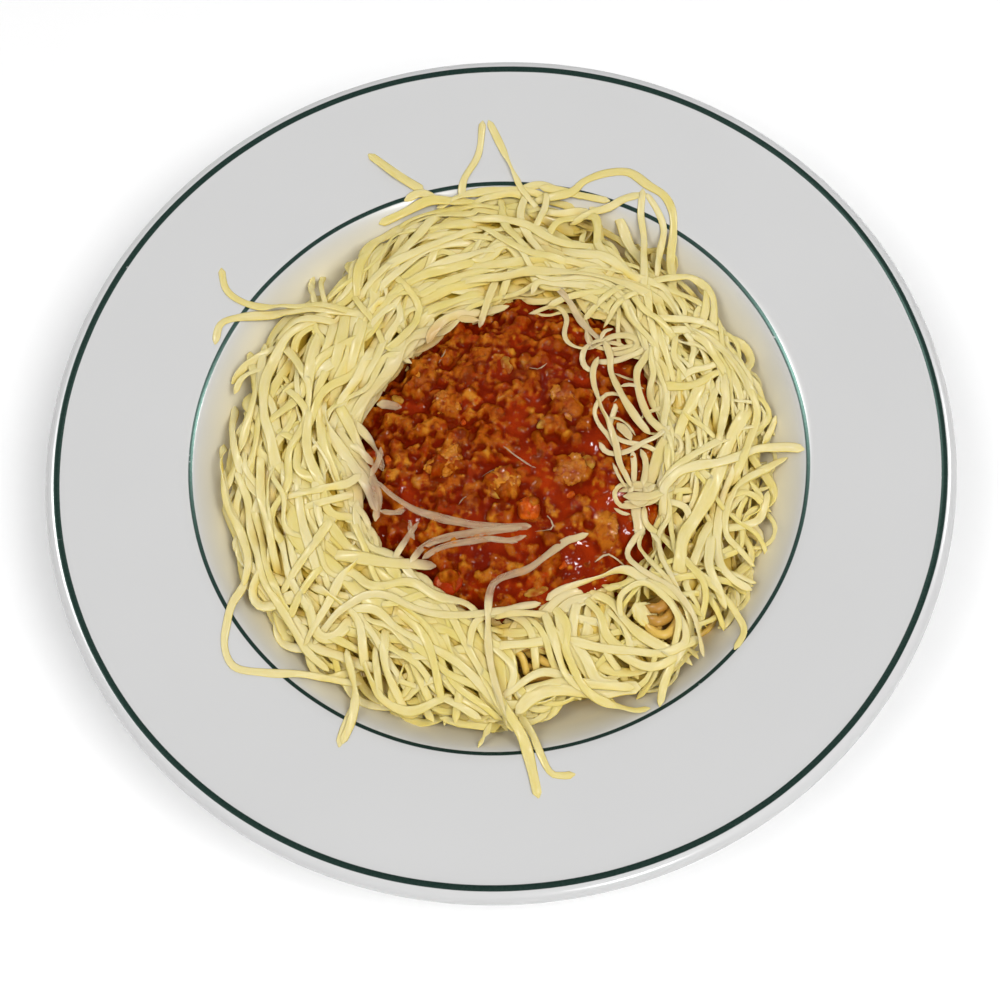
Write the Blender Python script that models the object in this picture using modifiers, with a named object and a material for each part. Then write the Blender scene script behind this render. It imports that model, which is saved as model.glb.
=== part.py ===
"""Spaghetti bolognese on a wide-rimmed pasta plate, under a ring of shredded cheese.

Units are metres and +Z is up. The origin is the middle of the plate's foot, on the
surface it stands on. The food fills the plate's well in layers: spaghetti at the bottom,
meat sauce in the middle of it, and the cheese laid round and over the sauce's edge.
"""

import bmesh
import bpy
import numpy as np

MM = 0.001

# The plate: a well with a wide rim, turned about Z, on a foot ring.
PLATE_RADIUS = 150 * MM
LIP_RADIUS = 103 * MM  # where the rim turns down into the well
LIP_HEIGHT = 39 * MM
RIM_SLOPE = 0.187  # rise of the rim for each unit of radius
FLOOR_RADIUS = 62 * MM
FLOOR_HEIGHT = 8 * MM
WALL_BEND = 1.35  # how sharply the well's wall turns over into the rim
WALL_THICKNESS = 4.6 * MM
EDGE_WIDTH = 3.6 * MM  # half axes of the rolled edge's oval section
EDGE_HALF_HEIGHT = 3.5 * MM
EDGE_CREST = 0.3 * MM  # how far the rolled edge stands above the rim
FOOT_OUTER_RADIUS = 66 * MM
FOOT_INNER_RADIUS = 60 * MM
FOOT_HEIGHT = 3 * MM
FOOT_FILLET = 1 * MM
PLATE_STEPS = 56

# Gap between touching pieces, with room for the facets of a curved surface.
GAP = 0.3 * MM
FACET_ROOM = 0.3 * MM

# Uneven outlines: a mean radius, then (waves round the circle, height, angle of a crest).
SPAGHETTI_OUTLINE = (
    88 * MM,
    ((1, 1.5 * MM, 30), (2, 2 * MM, 71), (3, 2 * MM, 70)),
)
SAUCE_OUTLINE = (57 * MM, ((1, 4 * MM, 270), (2, 4 * MM, 80), (5, 1.5 * MM, 20)))
CHEESE_INNER_OUTLINE = (
    48 * MM,
    ((1, 5 * MM, 270), (2, 7.5 * MM, 80), (3, 2 * MM, 50), (7, 1.5 * MM, 10)),
)
CHEESE_OUTER_OUTLINE = (
    95.5 * MM,
    ((1, 1.5 * MM, 30), (2, 2 * MM, 71), (3, 2 * MM, 70), (11, 0.8 * MM, 5)),
)

# Heights of the food, and the length and height of the soft bumps on each layer.
SPAGHETTI_EDGE_HEIGHT = 29 * MM
SPAGHETTI_CROWN = 9.5 * MM
SPAGHETTI_BUMPS = (38 * MM, 0.8 * MM)
SAUCE_EDGE_THICKNESS = 2.5 * MM
SAUCE_CROWN = 9 * MM
SAUCE_BUMPS = (21 * MM, 0.9 * MM)
SAUCE_FLATNESS = 3.5  # power of the mound's section: 2 is round, and more is flatter on top
CHEESE_INNER_HEIGHT = 46 * MM
CHEESE_CREST_HEIGHT = 50.5 * MM
CHEESE_OUTER_HEIGHT = 38.5 * MM
CHEESE_BUMPS = (27 * MM, 1.6 * MM)
CHEESE_LEAST_THICKNESS = 3 * MM
CHEESE_OVER_SAUCE = 1.5 * MM  # room for the sauce's own bumps under the cheese
CHEESE_CREST_ACROSS = 0.32  # the crest's place, from 0 at the inner edge to 1 at the outer
EDGE_BLUNTNESS = 0.45  # power that rounds a layer's edge: 1 is a plain ellipse

# The larger pieces in the sauce: name, plan place, half sizes along X, Y and Z, turn.
SAUCE_PIECES = (
    ("mince_lump_1", (-16.5, -6.0), (8.5, 5.6, 5.0), 35),
    ("mince_lump_2", (0.5, -16.0), (5.6, 7.0, 4.6), 10),
    ("mince_lump_3", (23.0, -13.5), (6.0, 6.4, 4.6), 20),
    ("mince_lump_4", (32.0, -34.0), (5.4, 6.8, 4.6), -10),
    ("mince_lump_5", (24.5, 10.0), (4.8, 7.6, 4.6), 15),
    ("mince_lump_6", (-14.5, 14.5), (5.2, 5.6, 4.4), 0),
    ("mince_lump_7", (-20.0, 29.0), (6.0, 6.6, 4.2), 30),
    ("carrot_piece", (8.0, -25.5), (4.6, 4.2, 4.2), 0),
    ("tomato_piece", (-20.5, -45.0), (6.2, 5.4, 3.6), 40),
)
LUMPINESS = 0.1
PIECE_SINK = 0.28  # how much of a piece's half height its middle lies under the sauce

FOOD_MATERIALS = {
    "spaghetti": ((0.80, 0.58, 0.27), 0.45),
    "bolognese_sauce": ((0.36, 0.055, 0.012), 0.25),
    "shredded_cheese": ((0.83, 0.74, 0.39), 0.5),
    "mince": ((0.42, 0.16, 0.04), 0.35),
    "carrot": ((0.60, 0.13, 0.01), 0.3),
    "tomato": ((0.50, 0.05, 0.012), 0.2),
}
PORCELAIN = ((0.80, 0.80, 0.79), 0.12)


def clear_scene():
    for thing in list(bpy.data.objects):
        bpy.data.objects.remove(thing)


def new_collection(name):
    collection = bpy.data.collections.new(name)
    bpy.context.scene.collection.children.link(collection)
    return collection


def material(name, colour, roughness):
    """A Principled material of one colour, which is not a metal."""
    made = bpy.data.materials.new(name)
    made.use_nodes = True
    shader = made.node_tree.nodes["Principled BSDF"]
    shader.inputs["Base Color"].default_value = (*colour, 1)
    shader.inputs["Roughness"].default_value = roughness
    shader.inputs["Metallic"].default_value = 0
    return made


def add_object(name, mesh, collection, finish=None):
    thing = bpy.data.objects.new(name, mesh)
    collection.objects.link(thing)
    if finish:
        mesh.materials.append(finish)
    return thing


def outline_radius(outline, angle):
    """Radius of an uneven outline: its mean plus each wave, cos(waves * (angle - crest))."""
    mean, waves = outline
    radius = np.full_like(angle, mean)
    for count, height, crest in waves:
        radius += height * np.cos(count * (angle - np.radians(crest)))
    return radius


def plate_top(radius):
    """Height of the plate's glazed face.

    The rim is a straight slope. Inside the lip it falls to the floor as
    1 - (1 - across^2)^WALL_BEND, which starts flat at the floor and meets the rim smoothly.
    """
    rim = LIP_HEIGHT + RIM_SLOPE * (radius - LIP_RADIUS)
    across = np.clip((radius - FLOOR_RADIUS) / (LIP_RADIUS - FLOOR_RADIUS), 0, 1)
    return FLOOR_HEIGHT + (rim - FLOOR_HEIGHT) * (1 - (1 - across**2) ** WALL_BEND)


def relief(x, y, bumps):
    """Soft bumps of a given length and height: three crossing waves."""
    length, height = bumps
    turn = 2 * np.pi / length
    return height * (
        np.sin(turn * x + 1.3)
        + np.sin(turn * (0.5 * x + 0.86 * y) + 0.4)
        + np.sin(turn * (0.62 * x - 0.78 * y) + 2.1)
    ) / 3


def spaghetti_top(x, y):
    """The bed of spaghetti: a low dome, higher in the middle, with soft bumps."""
    angle = np.arctan2(y, x)
    across = np.hypot(x, y) / outline_radius(SPAGHETTI_OUTLINE, angle)
    dome = SPAGHETTI_CROWN * np.clip(1 - across**2, 0, 1)
    return SPAGHETTI_EDGE_HEIGHT + dome + relief(x, y, SPAGHETTI_BUMPS)


def sauce_thickness(x, y, spare=0.0):
    """The sauce's depth over the spaghetti, with its outline moved out by spare."""
    angle = np.arctan2(y, x)
    across = np.hypot(x, y) / (outline_radius(SAUCE_OUTLINE, angle) + spare)
    inside = np.clip(1 - across**SAUCE_FLATNESS, 0, 1)
    return np.where(across < 1, SAUCE_EDGE_THICKNESS + SAUCE_CROWN * inside, 0)


def sauce_top(x, y):
    return spaghetti_top(x, y) + sauce_thickness(x, y) + relief(x, y, SAUCE_BUMPS)


def cheese_bed(x, y):
    """What the cheese lies on: the highest of the well, the spaghetti and the sauce."""
    angle = np.arctan2(y, x)
    radius = np.hypot(x, y)
    spare = CHEESE_LEAST_THICKNESS
    on_plate = plate_top(radius) + GAP + FACET_ROOM
    over_spaghetti = radius < outline_radius(SPAGHETTI_OUTLINE, angle) + spare
    on_spaghetti = np.where(over_spaghetti, spaghetti_top(x, y) + GAP + FACET_ROOM, 0)
    depth = sauce_thickness(x, y, spare)
    on_sauce = np.where(depth > 0, spaghetti_top(x, y) + depth + CHEESE_OVER_SAUCE, 0)
    return np.maximum.reduce([on_plate, on_spaghetti, on_sauce])


def cheese_top(across, x, y):
    """Across from the inner edge (0) to the outer (1): up to the crest, then down."""
    inner = np.clip(across / CHEESE_CREST_ACROSS, 0, 1)
    outer = np.clip((across - CHEESE_CREST_ACROSS) / (1 - CHEESE_CREST_ACROSS), 0, 1)
    climb = (CHEESE_CREST_HEIGHT - CHEESE_INNER_HEIGHT) * np.sin(inner * np.pi / 2)
    fall = (CHEESE_CREST_HEIGHT - CHEESE_OUTER_HEIGHT) * outer**2
    return CHEESE_INNER_HEIGHT + climb - fall + relief(x, y, CHEESE_BUMPS)


def vertex_array(made):
    return np.array([vertex.co for vertex in made.verts])


def move_vertices(made, points):
    for vertex, point in zip(made.verts, points):
        vertex.co = point


def finished_mesh(mesh, made):
    bmesh.ops.recalc_face_normals(made, faces=made.faces)
    made.to_mesh(mesh)
    made.free()
    mesh.shade_smooth()
    return mesh


def between(low, high, lift):
    """Height between two surfaces: lift is -1 on the lower, 1 on the upper, 0 at the edge."""
    blunt = np.sign(lift) * np.abs(lift) ** EDGE_BLUNTNESS
    return low + (high - low) * (1 + blunt) / 2


def layer_disc(name, outline, low, high, segments, rings):
    """A round layer: a sphere spread out to the outline, and laid between two surfaces."""
    made = bmesh.new()
    bmesh.ops.create_uvsphere(made, u_segments=segments, v_segments=rings, radius=1)
    ball = vertex_array(made)
    angle = np.arctan2(ball[:, 1], ball[:, 0])
    spread = np.hypot(ball[:, 0], ball[:, 1])
    radius = outline_radius(outline, angle) * spread
    x, y = radius * np.cos(angle), radius * np.sin(angle)
    lift = np.where(spread > 0.999, 0, ball[:, 2])
    move_vertices(made, np.c_[x, y, between(low(x, y), high(x, y), lift)])
    return finished_mesh(bpy.data.meshes.new(name), made)


def make_plate(collection):
    """The profile runs from the middle of the floor over the edge to the middle below."""
    floor = np.linspace(0, FLOOR_RADIUS, 2)
    wall = np.linspace(FLOOR_RADIUS, LIP_RADIUS, 11)[1:]
    rim = np.linspace(LIP_RADIUS, PLATE_RADIUS - 2 * EDGE_WIDTH, 3)[1:]
    upper = np.concatenate([floor, wall, rim])
    face = np.c_[upper, plate_top(upper)]

    edge_radius = PLATE_RADIUS - EDGE_WIDTH
    edge_height = plate_top(edge_radius) + EDGE_CREST - EDGE_HALF_HEIGHT
    turn = np.radians(np.linspace(120, -90, 8))
    edge = np.c_[
        edge_radius + EDGE_WIDTH * np.cos(turn),
        edge_height + EDGE_HALF_HEIGHT * np.sin(turn),
    ]

    back = np.linspace(PLATE_RADIUS - 4 * EDGE_WIDTH, FOOT_OUTER_RADIUS, 9)
    slope = (plate_top(back + 0.1 * MM) - plate_top(back - 0.1 * MM)) / (0.2 * MM)
    reach = WALL_THICKNESS / np.hypot(1, slope)
    under = np.c_[back + reach * slope, plate_top(back) - reach]

    foot = np.array(
        [
            (FOOT_OUTER_RADIUS, 0),
            (FOOT_INNER_RADIUS, 0),
            (FOOT_INNER_RADIUS - FOOT_FILLET, FOOT_HEIGHT),
            (0, FOOT_HEIGHT),
        ]
    )
    profile = np.concatenate([face, edge, under, foot])
    mesh = bpy.data.meshes.new("plate")
    points = [(radius, 0, height) for radius, height in profile]
    mesh.from_pydata(points, [(i, i + 1) for i in range(len(points) - 1)], [])
    plate = add_object("plate", mesh, collection, material("porcelain", *PORCELAIN))
    turning = plate.modifiers.new("turn", "SCREW")
    turning.steps = turning.render_steps = PLATE_STEPS
    turning.use_merge_vertices = True
    turning.merge_threshold = 0.0001
    turning.use_smooth_shade = True
    return plate


def make_spaghetti(collection, finishes):
    """The spaghetti heap: it fills the well's floor and rises as a low dome."""

    def underside(x, y):
        return plate_top(np.hypot(x, y)) + GAP + FACET_ROOM

    mesh = layer_disc(
        "spaghetti", SPAGHETTI_OUTLINE, underside, spaghetti_top, segments=48, rings=12
    )
    return add_object("spaghetti", mesh, collection, finishes["spaghetti"])


def make_sauce(collection, finishes):
    """The mound of meat sauce on the spaghetti."""

    def underside(x, y):
        return spaghetti_top(x, y) + GAP + FACET_ROOM

    mesh = layer_disc(
        "bolognese_sauce", SAUCE_OUTLINE, underside, sauce_top, segments=40, rings=12
    )
    return add_object(
        "bolognese_sauce", mesh, collection, finishes["bolognese_sauce"]
    )


def make_cheese(collection, finishes):
    """The ring of shredded cheese: a torus laid between what is under it and its top."""
    bpy.ops.mesh.primitive_torus_add(
        major_segments=66, minor_segments=12, major_radius=2, minor_radius=1
    )
    cheese = bpy.context.object
    cheese.name = cheese.data.name = "shredded_cheese"
    for owner in list(cheese.users_collection):
        owner.objects.unlink(cheese)
    collection.objects.link(cheese)
    made = bmesh.new()
    made.from_mesh(cheese.data)
    ring = vertex_array(made)
    angle = np.arctan2(ring[:, 1], ring[:, 0])
    across = (np.hypot(ring[:, 0], ring[:, 1]) - 1) / 2
    inner = outline_radius(CHEESE_INNER_OUTLINE, angle)
    outer = outline_radius(CHEESE_OUTER_OUTLINE, angle)
    radius = inner + (outer - inner) * across
    x, y = radius * np.cos(angle), radius * np.sin(angle)
    lift = np.where(np.abs(ring[:, 2]) < 0.001, 0, ring[:, 2])
    low = cheese_bed(x, y)
    high = np.maximum(cheese_top(across, x, y), low + CHEESE_LEAST_THICKNESS)
    move_vertices(made, np.c_[x, y, between(low, high, lift)])
    finished_mesh(cheese.data, made)
    cheese.data.materials.append(finishes["shredded_cheese"])
    return cheese


def lump_mesh(name, half_sizes, grown=0.0):
    """A lumpy ball: a sphere stretched to its half sizes, with soft dents and swellings."""
    made = bmesh.new()
    bmesh.ops.create_uvsphere(made, u_segments=10, v_segments=6, radius=1)
    ball = vertex_array(made)
    swell = 1 + LUMPINESS * np.sin(3 * ball[:, 0] + 1) * np.cos(3 * ball[:, 1] + half_sizes[0])
    sizes = np.array(half_sizes) * MM + grown
    move_vertices(made, ball * swell[:, None] * sizes)
    return finished_mesh(bpy.data.meshes.new(name), made)


def make_sauce_pieces(sauce, collection, cutters, finishes):
    """Lumps of mince, carrot and tomato, each in a pocket cut from the sauce's top."""
    for name, (x, y), half_sizes, turn in SAUCE_PIECES:
        x, y = x * MM, y * MM
        height = float(sauce_top(np.array(x), np.array(y)))
        height -= PIECE_SINK * half_sizes[2] * MM
        finish = finishes[name.split("_")[0]]
        piece = add_object(name, lump_mesh(name, half_sizes), collection, finish)
        pocket = add_object(
            name + "_pocket", lump_mesh(name + "_pocket", half_sizes, GAP), cutters
        )
        pocket.hide_render = True
        pocket.display_type = "WIRE"
        for thing in (piece, pocket):
            thing.location = (x, y, height)
            thing.rotation_euler.z = np.radians(turn)
        cut = sauce.modifiers.new(name, "BOOLEAN")
        cut.operation = "DIFFERENCE"
        cut.object = pocket


def main():
    clear_scene()
    dish = new_collection("spaghetti_bolognese")
    cutters = new_collection("cutters")
    finishes = {name: material(name, *look) for name, look in FOOD_MATERIALS.items()}
    make_plate(dish)
    make_spaghetti(dish, finishes)
    sauce = make_sauce(dish, finishes)
    make_cheese(dish, finishes)
    make_sauce_pieces(sauce, dish, cutters, finishes)


main()
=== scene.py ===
"""Spaghetti bolognese on its plate: the finish of the porcelain, and the food laid strand by strand."""

import bpy
import numpy as np
from mathutils import Matrix, Vector


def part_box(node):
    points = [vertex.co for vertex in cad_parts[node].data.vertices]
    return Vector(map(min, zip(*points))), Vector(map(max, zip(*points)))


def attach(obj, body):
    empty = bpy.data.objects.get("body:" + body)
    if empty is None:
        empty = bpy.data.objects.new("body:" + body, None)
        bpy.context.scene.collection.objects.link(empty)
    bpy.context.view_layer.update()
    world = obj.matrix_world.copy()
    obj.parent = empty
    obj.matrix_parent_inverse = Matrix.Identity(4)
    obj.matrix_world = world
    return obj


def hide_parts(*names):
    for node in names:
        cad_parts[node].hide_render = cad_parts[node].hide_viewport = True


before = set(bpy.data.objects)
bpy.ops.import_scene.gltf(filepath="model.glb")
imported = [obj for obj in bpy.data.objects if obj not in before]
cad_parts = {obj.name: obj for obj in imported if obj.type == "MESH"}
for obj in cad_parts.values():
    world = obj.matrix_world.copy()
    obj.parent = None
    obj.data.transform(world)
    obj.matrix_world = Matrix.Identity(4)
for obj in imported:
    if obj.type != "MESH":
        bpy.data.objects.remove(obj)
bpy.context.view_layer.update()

# ---------------------------------------------------------------------------------------
# The plate: one piece of white porcelain, jiggered to a wide rim round a deep well, glazed
# all over but under its foot ring, and banded by hand with dark green lines on a wheel.
# ---------------------------------------------------------------------------------------

MM = 0.001


class Wire:
    """A shader socket that takes part in sums: every operation on it adds a Math node."""

    def __init__(self, socket):
        self.socket = socket

    def feed(self, socket):
        socket.id_data.links.new(self.socket, socket)

    def math(self, operation, *values):
        node = self.socket.id_data.nodes.new("ShaderNodeMath")
        node.operation = operation
        for value, socket in zip(values, node.inputs):
            feed(socket, value)
        return Wire(node.outputs[0])

    def __add__(self, other):
        return self.math("ADD", self, other)

    def __sub__(self, other):
        return self.math("SUBTRACT", self, other)

    def __rsub__(self, other):
        return self.math("SUBTRACT", other, self)

    def __mul__(self, other):
        return self.math("MULTIPLY", self, other)

    def __truediv__(self, other):
        return self.math("DIVIDE", self, other)

    def __pow__(self, other):
        return self.math("POWER", self, other)

    __radd__ = __add__
    __rmul__ = __mul__

    def above(self, level, blend):
        """0 below the level and 1 above it, with a straight ramp of that width between."""
        return self.math("MULTIPLY_ADD", self - level, 1 / blend, 0.5).clamped()

    def clamped(self):
        made = self.math("ADD", self, 0)
        made.socket.node.use_clamp = True
        return made

    def size(self):
        return self.math("ABSOLUTE", self)


def feed(socket, value):
    """Joins a wire to a socket, or sets the socket's own value."""
    if isinstance(value, Wire):
        value.feed(socket)
    else:
        socket.default_value = value


class Finish:
    """A material as it is mixed: a shader with its constants, and the nodes that vary it."""

    def __init__(self, name, constants):
        self.material = bpy.data.materials.new(name)
        self.material.use_nodes = True
        self.tree = self.material.node_tree
        self.shader = self.tree.nodes["Principled BSDF"]
        for socket, value in constants.items():
            self.shader.inputs[socket].default_value = value

    def node(self, kind, settings=None, inputs=None, output=0):
        """Adds a node: its settings are set first, then its sockets are set or joined."""
        made = self.tree.nodes.new("ShaderNode" + kind)
        for name, value in (settings or {}).items():
            setattr(made, name, value)
        for name, value in (inputs or {}).items():
            feed(made.inputs[name], value)
        return Wire(made.outputs[output])

    def place(self):
        return self.node("TexCoord", output="Object")

    def part(self, vector, axis):
        """The X, Y or Z of a vector."""
        return self.node("SeparateXYZ", inputs={"Vector": vector}, output=axis)

    def facing_up(self):
        """1 where the surface faces straight up, 0 where it is upright, less beneath."""
        return self.part(self.node("TexCoord", output="Normal"), "Z")

    def noise(self, place, scale, detail):
        """Noise between 0 and 1 whose lumps are about 1 / scale across."""
        inputs = {"Vector": place, "Scale": scale, "Detail": detail}
        return self.node("TexNoise", inputs=inputs, output="Fac")

    def attribute(self, name):
        return self.node("Attribute", {"attribute_name": name}, output="Fac")

    def mix(self, factor, first, second):
        """A colour between two others, each a wire or three linear values."""
        node = self.tree.nodes.new("ShaderNodeMix")
        node.data_type = "RGBA"
        feed(node.inputs[0], factor)
        for socket, colour in zip(node.inputs[6:8], (first, second)):
            feed(socket, colour if isinstance(colour, Wire) else (*colour, 1.0))
        return Wire(node.outputs[2])

    def bump(self, height, distance, strength=1.0, facing=None):
        inputs = {"Height": height, "Distance": distance, "Strength": strength}
        if facing:
            inputs["Normal"] = facing
        return self.node("Bump", inputs=inputs)

    def vary(self, **wires):
        """Joins wires to the shader's sockets, written with _ for each space."""
        for name, wire in wires.items():
            wire.feed(self.shader.inputs[name.replace("_", " ")])
        return self.material


def solid(name, points, faces, finish, marks=None):
    """A mesh object at the origin, with named values kept on its points."""
    mesh = bpy.data.meshes.new(name)
    mesh.from_pydata(points.tolist(), [], faces)
    for mark, values in (marks or {}).items():
        mesh.attributes.new(mark, "FLOAT", "POINT").data.foreach_set(
            "value", np.asarray(values, dtype=np.float32)
        )
    mesh.shade_smooth()
    mesh.materials.append(finish)
    made = bpy.data.objects.new(name, mesh)
    bpy.context.scene.collection.objects.link(made)
    return made


def turned(profile, steps):
    """A profile of (radius, height) carried round Z: point (i, j) is radius i at angle j.

    Its first and last points lie on the axis, and each closes into one vertex.
    """
    angle = np.linspace(0, 2 * np.pi, steps, endpoint=False)
    radius, height = profile[1:-1, 0, None], profile[1:-1, 1, None]
    rings = np.stack(
        [radius * np.cos(angle), radius * np.sin(angle), height + 0 * angle], axis=-1
    )
    poles = np.array([(0, 0, profile[0, 1]), (0, 0, profile[-1, 1])])
    points = np.concatenate([rings.reshape(-1, 3), poles])
    row = np.arange(len(radius) - 1)[:, None] * steps
    here = np.arange(steps)
    after = (here + 1) % steps
    quads = np.stack(
        [row + here, row + steps + here, row + steps + after, row + after], axis=-1
    ).reshape(-1, 4)
    top, bottom = len(points) - 2, len(points) - 1
    last = (len(radius) - 1) * steps
    first_fan = np.stack([top + 0 * here, here, after], axis=-1)
    last_fan = np.stack([bottom + 0 * here, last + after, last + here], axis=-1)
    return points, quads.tolist() + first_fan.tolist() + last_fan.tolist()


PLATE_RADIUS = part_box("plate")[1][0]
LIP_RADIUS = 103 * MM
LIP_HEIGHT = 39 * MM
RIM_SLOPE = 0.187
FLOOR_RADIUS = 62 * MM
FLOOR_HEIGHT = 8 * MM
WALL_BEND = 1.35
WALL_THICKNESS = 4.6 * MM
EDGE_WIDTH = 3.6 * MM
EDGE_HALF_HEIGHT = 3.5 * MM
EDGE_CREST = 0.3 * MM
EDGE_TURN = (122, -100)  # degrees round the edge's oval, from the rim's top to under it
FOOT = ((66 * MM, 1 * MM), (65 * MM, 0), (61 * MM, 0), (60 * MM, 1 * MM))
FOOT_HEIGHT = 3 * MM


def plate_top(radius):
    """The glazed face's height: a straight rim, and a wall that falls from it to the floor
    as 1 - (1 - across^2)^WALL_BEND, which is level at the floor."""
    rim = LIP_HEIGHT + RIM_SLOPE * (radius - LIP_RADIUS)
    across = np.clip((radius - FLOOR_RADIUS) / (LIP_RADIUS - FLOOR_RADIUS), 0, 1)
    return FLOOR_HEIGHT + (rim - FLOOR_HEIGHT) * (1 - (1 - across**2) ** WALL_BEND)


def plate_profile():
    """From the middle of the floor, up the wall, round the oval edge and back under."""
    upper = np.concatenate(
        [
            np.linspace(0, FLOOR_RADIUS, 6),
            np.linspace(FLOOR_RADIUS, LIP_RADIUS, 28)[1:],
            np.linspace(LIP_RADIUS, PLATE_RADIUS - 2 * EDGE_WIDTH, 12)[1:],
        ]
    )
    edge_radius = PLATE_RADIUS - EDGE_WIDTH
    edge_height = plate_top(edge_radius) + EDGE_CREST - EDGE_HALF_HEIGHT
    turn = np.radians(np.linspace(*EDGE_TURN, 26))
    edge = np.c_[
        edge_radius + EDGE_WIDTH * np.cos(turn),
        edge_height + EDGE_HALF_HEIGHT * np.sin(turn),
    ]
    back = np.linspace(PLATE_RADIUS - 3.6 * EDGE_WIDTH, FOOT[0][0], 34)
    slope = (plate_top(back + 0.1 * MM) - plate_top(back - 0.1 * MM)) / (0.2 * MM)
    reach = WALL_THICKNESS / np.hypot(1, slope)
    under = np.c_[back + reach * slope, plate_top(back) - reach]
    well = [(FOOT[-1][0] - 1 * MM, FOOT_HEIGHT), (30 * MM, FOOT_HEIGHT), (0, FOOT_HEIGHT)]
    return np.concatenate([np.c_[upper, plate_top(upper)], edge, under, FOOT, well])


GLAZE = (0.59, 0.59, 0.59)
WELL_PAINTED_BOUNCE = (0.91, 0.83, 0.58)  # painted light: creamy bounce from the cheese, made brighter against the heap's shade
WELL_BOUNCE_REACH = (98 * MM, 9 * MM)  # the radius at which the painted bounce light ends, and the width it fades over
BISQUE = (0.62, 0.57, 0.49)
BAND_GREEN = (0.0006, 0.024, 0.016)
BANDS = ((145.5 * MM, 1.95 * MM), (102.9 * MM, 1.3 * MM))  # middle radius and width
BAND_WANDER = 0.5 * MM
BAND_SOFTNESS = 0.18 * MM


def porcelain_finish():
    """Clear gloss glaze, two painted bands with uneven edges and nicks, a bare foot, and painted bounce
    light in the well.
    """
    finish = Finish("porcelain", {"IOR": 1.42})
    place = finish.place()
    x, y, z = (finish.part(place, axis) for axis in "XYZ")
    radius = (x * x + y * y) ** 0.5
    wander = (finish.noise(place, 22, 2) - 0.5) * BAND_WANDER
    speck = finish.noise(place, 190, 2).above(0.24, 0.03) * 0.5 + 0.5
    streak = finish.noise(place, 1100, 1) * 0.04 + 0.96
    paint = 0
    for middle, width in BANDS:
        off_middle = (radius - middle + wander).size()
        paint = 1 - off_middle.above(width / 2, BAND_SOFTNESS) + paint
    paint = paint * z.above(30 * MM, 1 * MM) * speck * streak
    cloud = finish.noise(place, 14, 4)
    # Painted light on the well's upward faces: creamier, as if lit by the cheese, and brighter against
    # the heap's shade.
    film = (1 - radius.above(*WELL_BOUNCE_REACH)) * finish.facing_up().above(0, 0.1)
    glaze = finish.mix(film, GLAZE, WELL_PAINTED_BOUNCE)
    glaze = finish.mix(cloud * 0.06, glaze, (0, 0, 0))
    foot = 1 - z.above(0.4 * MM, 0.5 * MM)
    body = finish.mix(foot, glaze, BISQUE)
    colour = finish.mix(paint, body, BAND_GREEN)
    roughness = 0.2 + 0.05 * cloud + 0.6 * foot + 0.08 * paint
    ripple = finish.bump(finish.noise(place, 60, 2), 0.02 * MM)
    return finish.vary(
        Base_Color=colour, Roughness=roughness, Metallic=paint * 0.6, Normal=ripple
    )


plate = solid("plate_glazed", *turned(plate_profile(), 288), porcelain_finish())
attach(plate, "root")
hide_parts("plate")

# ---------------------------------------------------------------------------------------
# The spaghetti: boiled strands of durum wheat, heaped in the well and wound loosely, with a
# plain core where they can't be seen. Only a few show, through gaps in the cheese.
# ---------------------------------------------------------------------------------------

CELL = 0.5 * MM
BED_HALF = 140 * MM


def wave_sum(x, y, length, seed):
    """Soft relief between about -1 and 1: six waves of about that length, crossing."""
    draw = np.random.default_rng(seed)
    total = 0
    for heading in np.radians(np.arange(6) * 60 + draw.uniform(0, 50, 6)):
        turn = 2 * np.pi / (length * draw.uniform(0.75, 1.35))
        phase = draw.uniform(0, 2 * np.pi)
        total = total + np.sin(turn * (x * np.cos(heading) + y * np.sin(heading)) + phase)
    return total / 3


def outline_radius(outline, angle):
    """An uneven outline's radius: its mean plus each wave, cos(waves * (angle - crest))."""
    mean, waves = outline
    return mean + sum(
        height * np.cos(count * (angle - np.radians(crest))) for count, height, crest in waves
    )


class Bed:
    """The top of what lies on the plate so far: one height for each cell of a square grid."""

    def __init__(self):
        axis = np.arange(-BED_HALF, BED_HALF + CELL / 2, CELL)
        self.x, self.y = np.meshgrid(axis, axis, indexing="ij")
        self.height = plate_top(np.hypot(self.x, self.y))

    def cell(self, x, y):
        last = self.height.shape[0] - 1
        return tuple(
            np.clip(np.rint((value + BED_HALF) / CELL).astype(int), 0, last)
            for value in (x, y)
        )

    def at(self, x, y):
        return self.height[self.cell(x, y)]

    def raise_to(self, x, y, height):
        np.maximum.at(self.height, self.cell(x, y), height)


def blurred(field, spread):
    """A square field blurred by a round bell of that spread, in cells."""
    waves = np.fft.fftfreq(field.shape[0])
    bell = np.exp(-2 * (np.pi * spread) ** 2 * (waves[:, None] ** 2 + waves[None, :] ** 2))
    return np.fft.ifft2(np.fft.fft2(field) * bell).real


def smooth_route(places, step):
    """A curve through places, at even steps: between two places it is the cubic that keeps
    the slope from each place's neighbours."""
    slope = np.gradient(places, axis=0)
    at = np.linspace(0, len(places) - 1, 20 * len(places))
    i = np.minimum(at.astype(int), len(places) - 2)
    u = (at - i)[:, None]
    curve = (
        (2 * u**3 - 3 * u**2 + 1) * places[i]
        + (u**3 - 2 * u**2 + u) * slope[i]
        + (3 * u**2 - 2 * u**3) * places[i + 1]
        + (u**3 - u**2) * slope[i + 1]
    )
    along = np.r_[0, np.cumsum(np.hypot(*np.diff(curve, axis=0).T))]
    even = np.linspace(0, along[-1], max(6, int(along[-1] / step)))
    return np.c_[np.interp(even, along, curve[:, 0]), np.interp(even, along, curve[:, 1])]


DIP_REACH = 5 * MM


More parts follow.
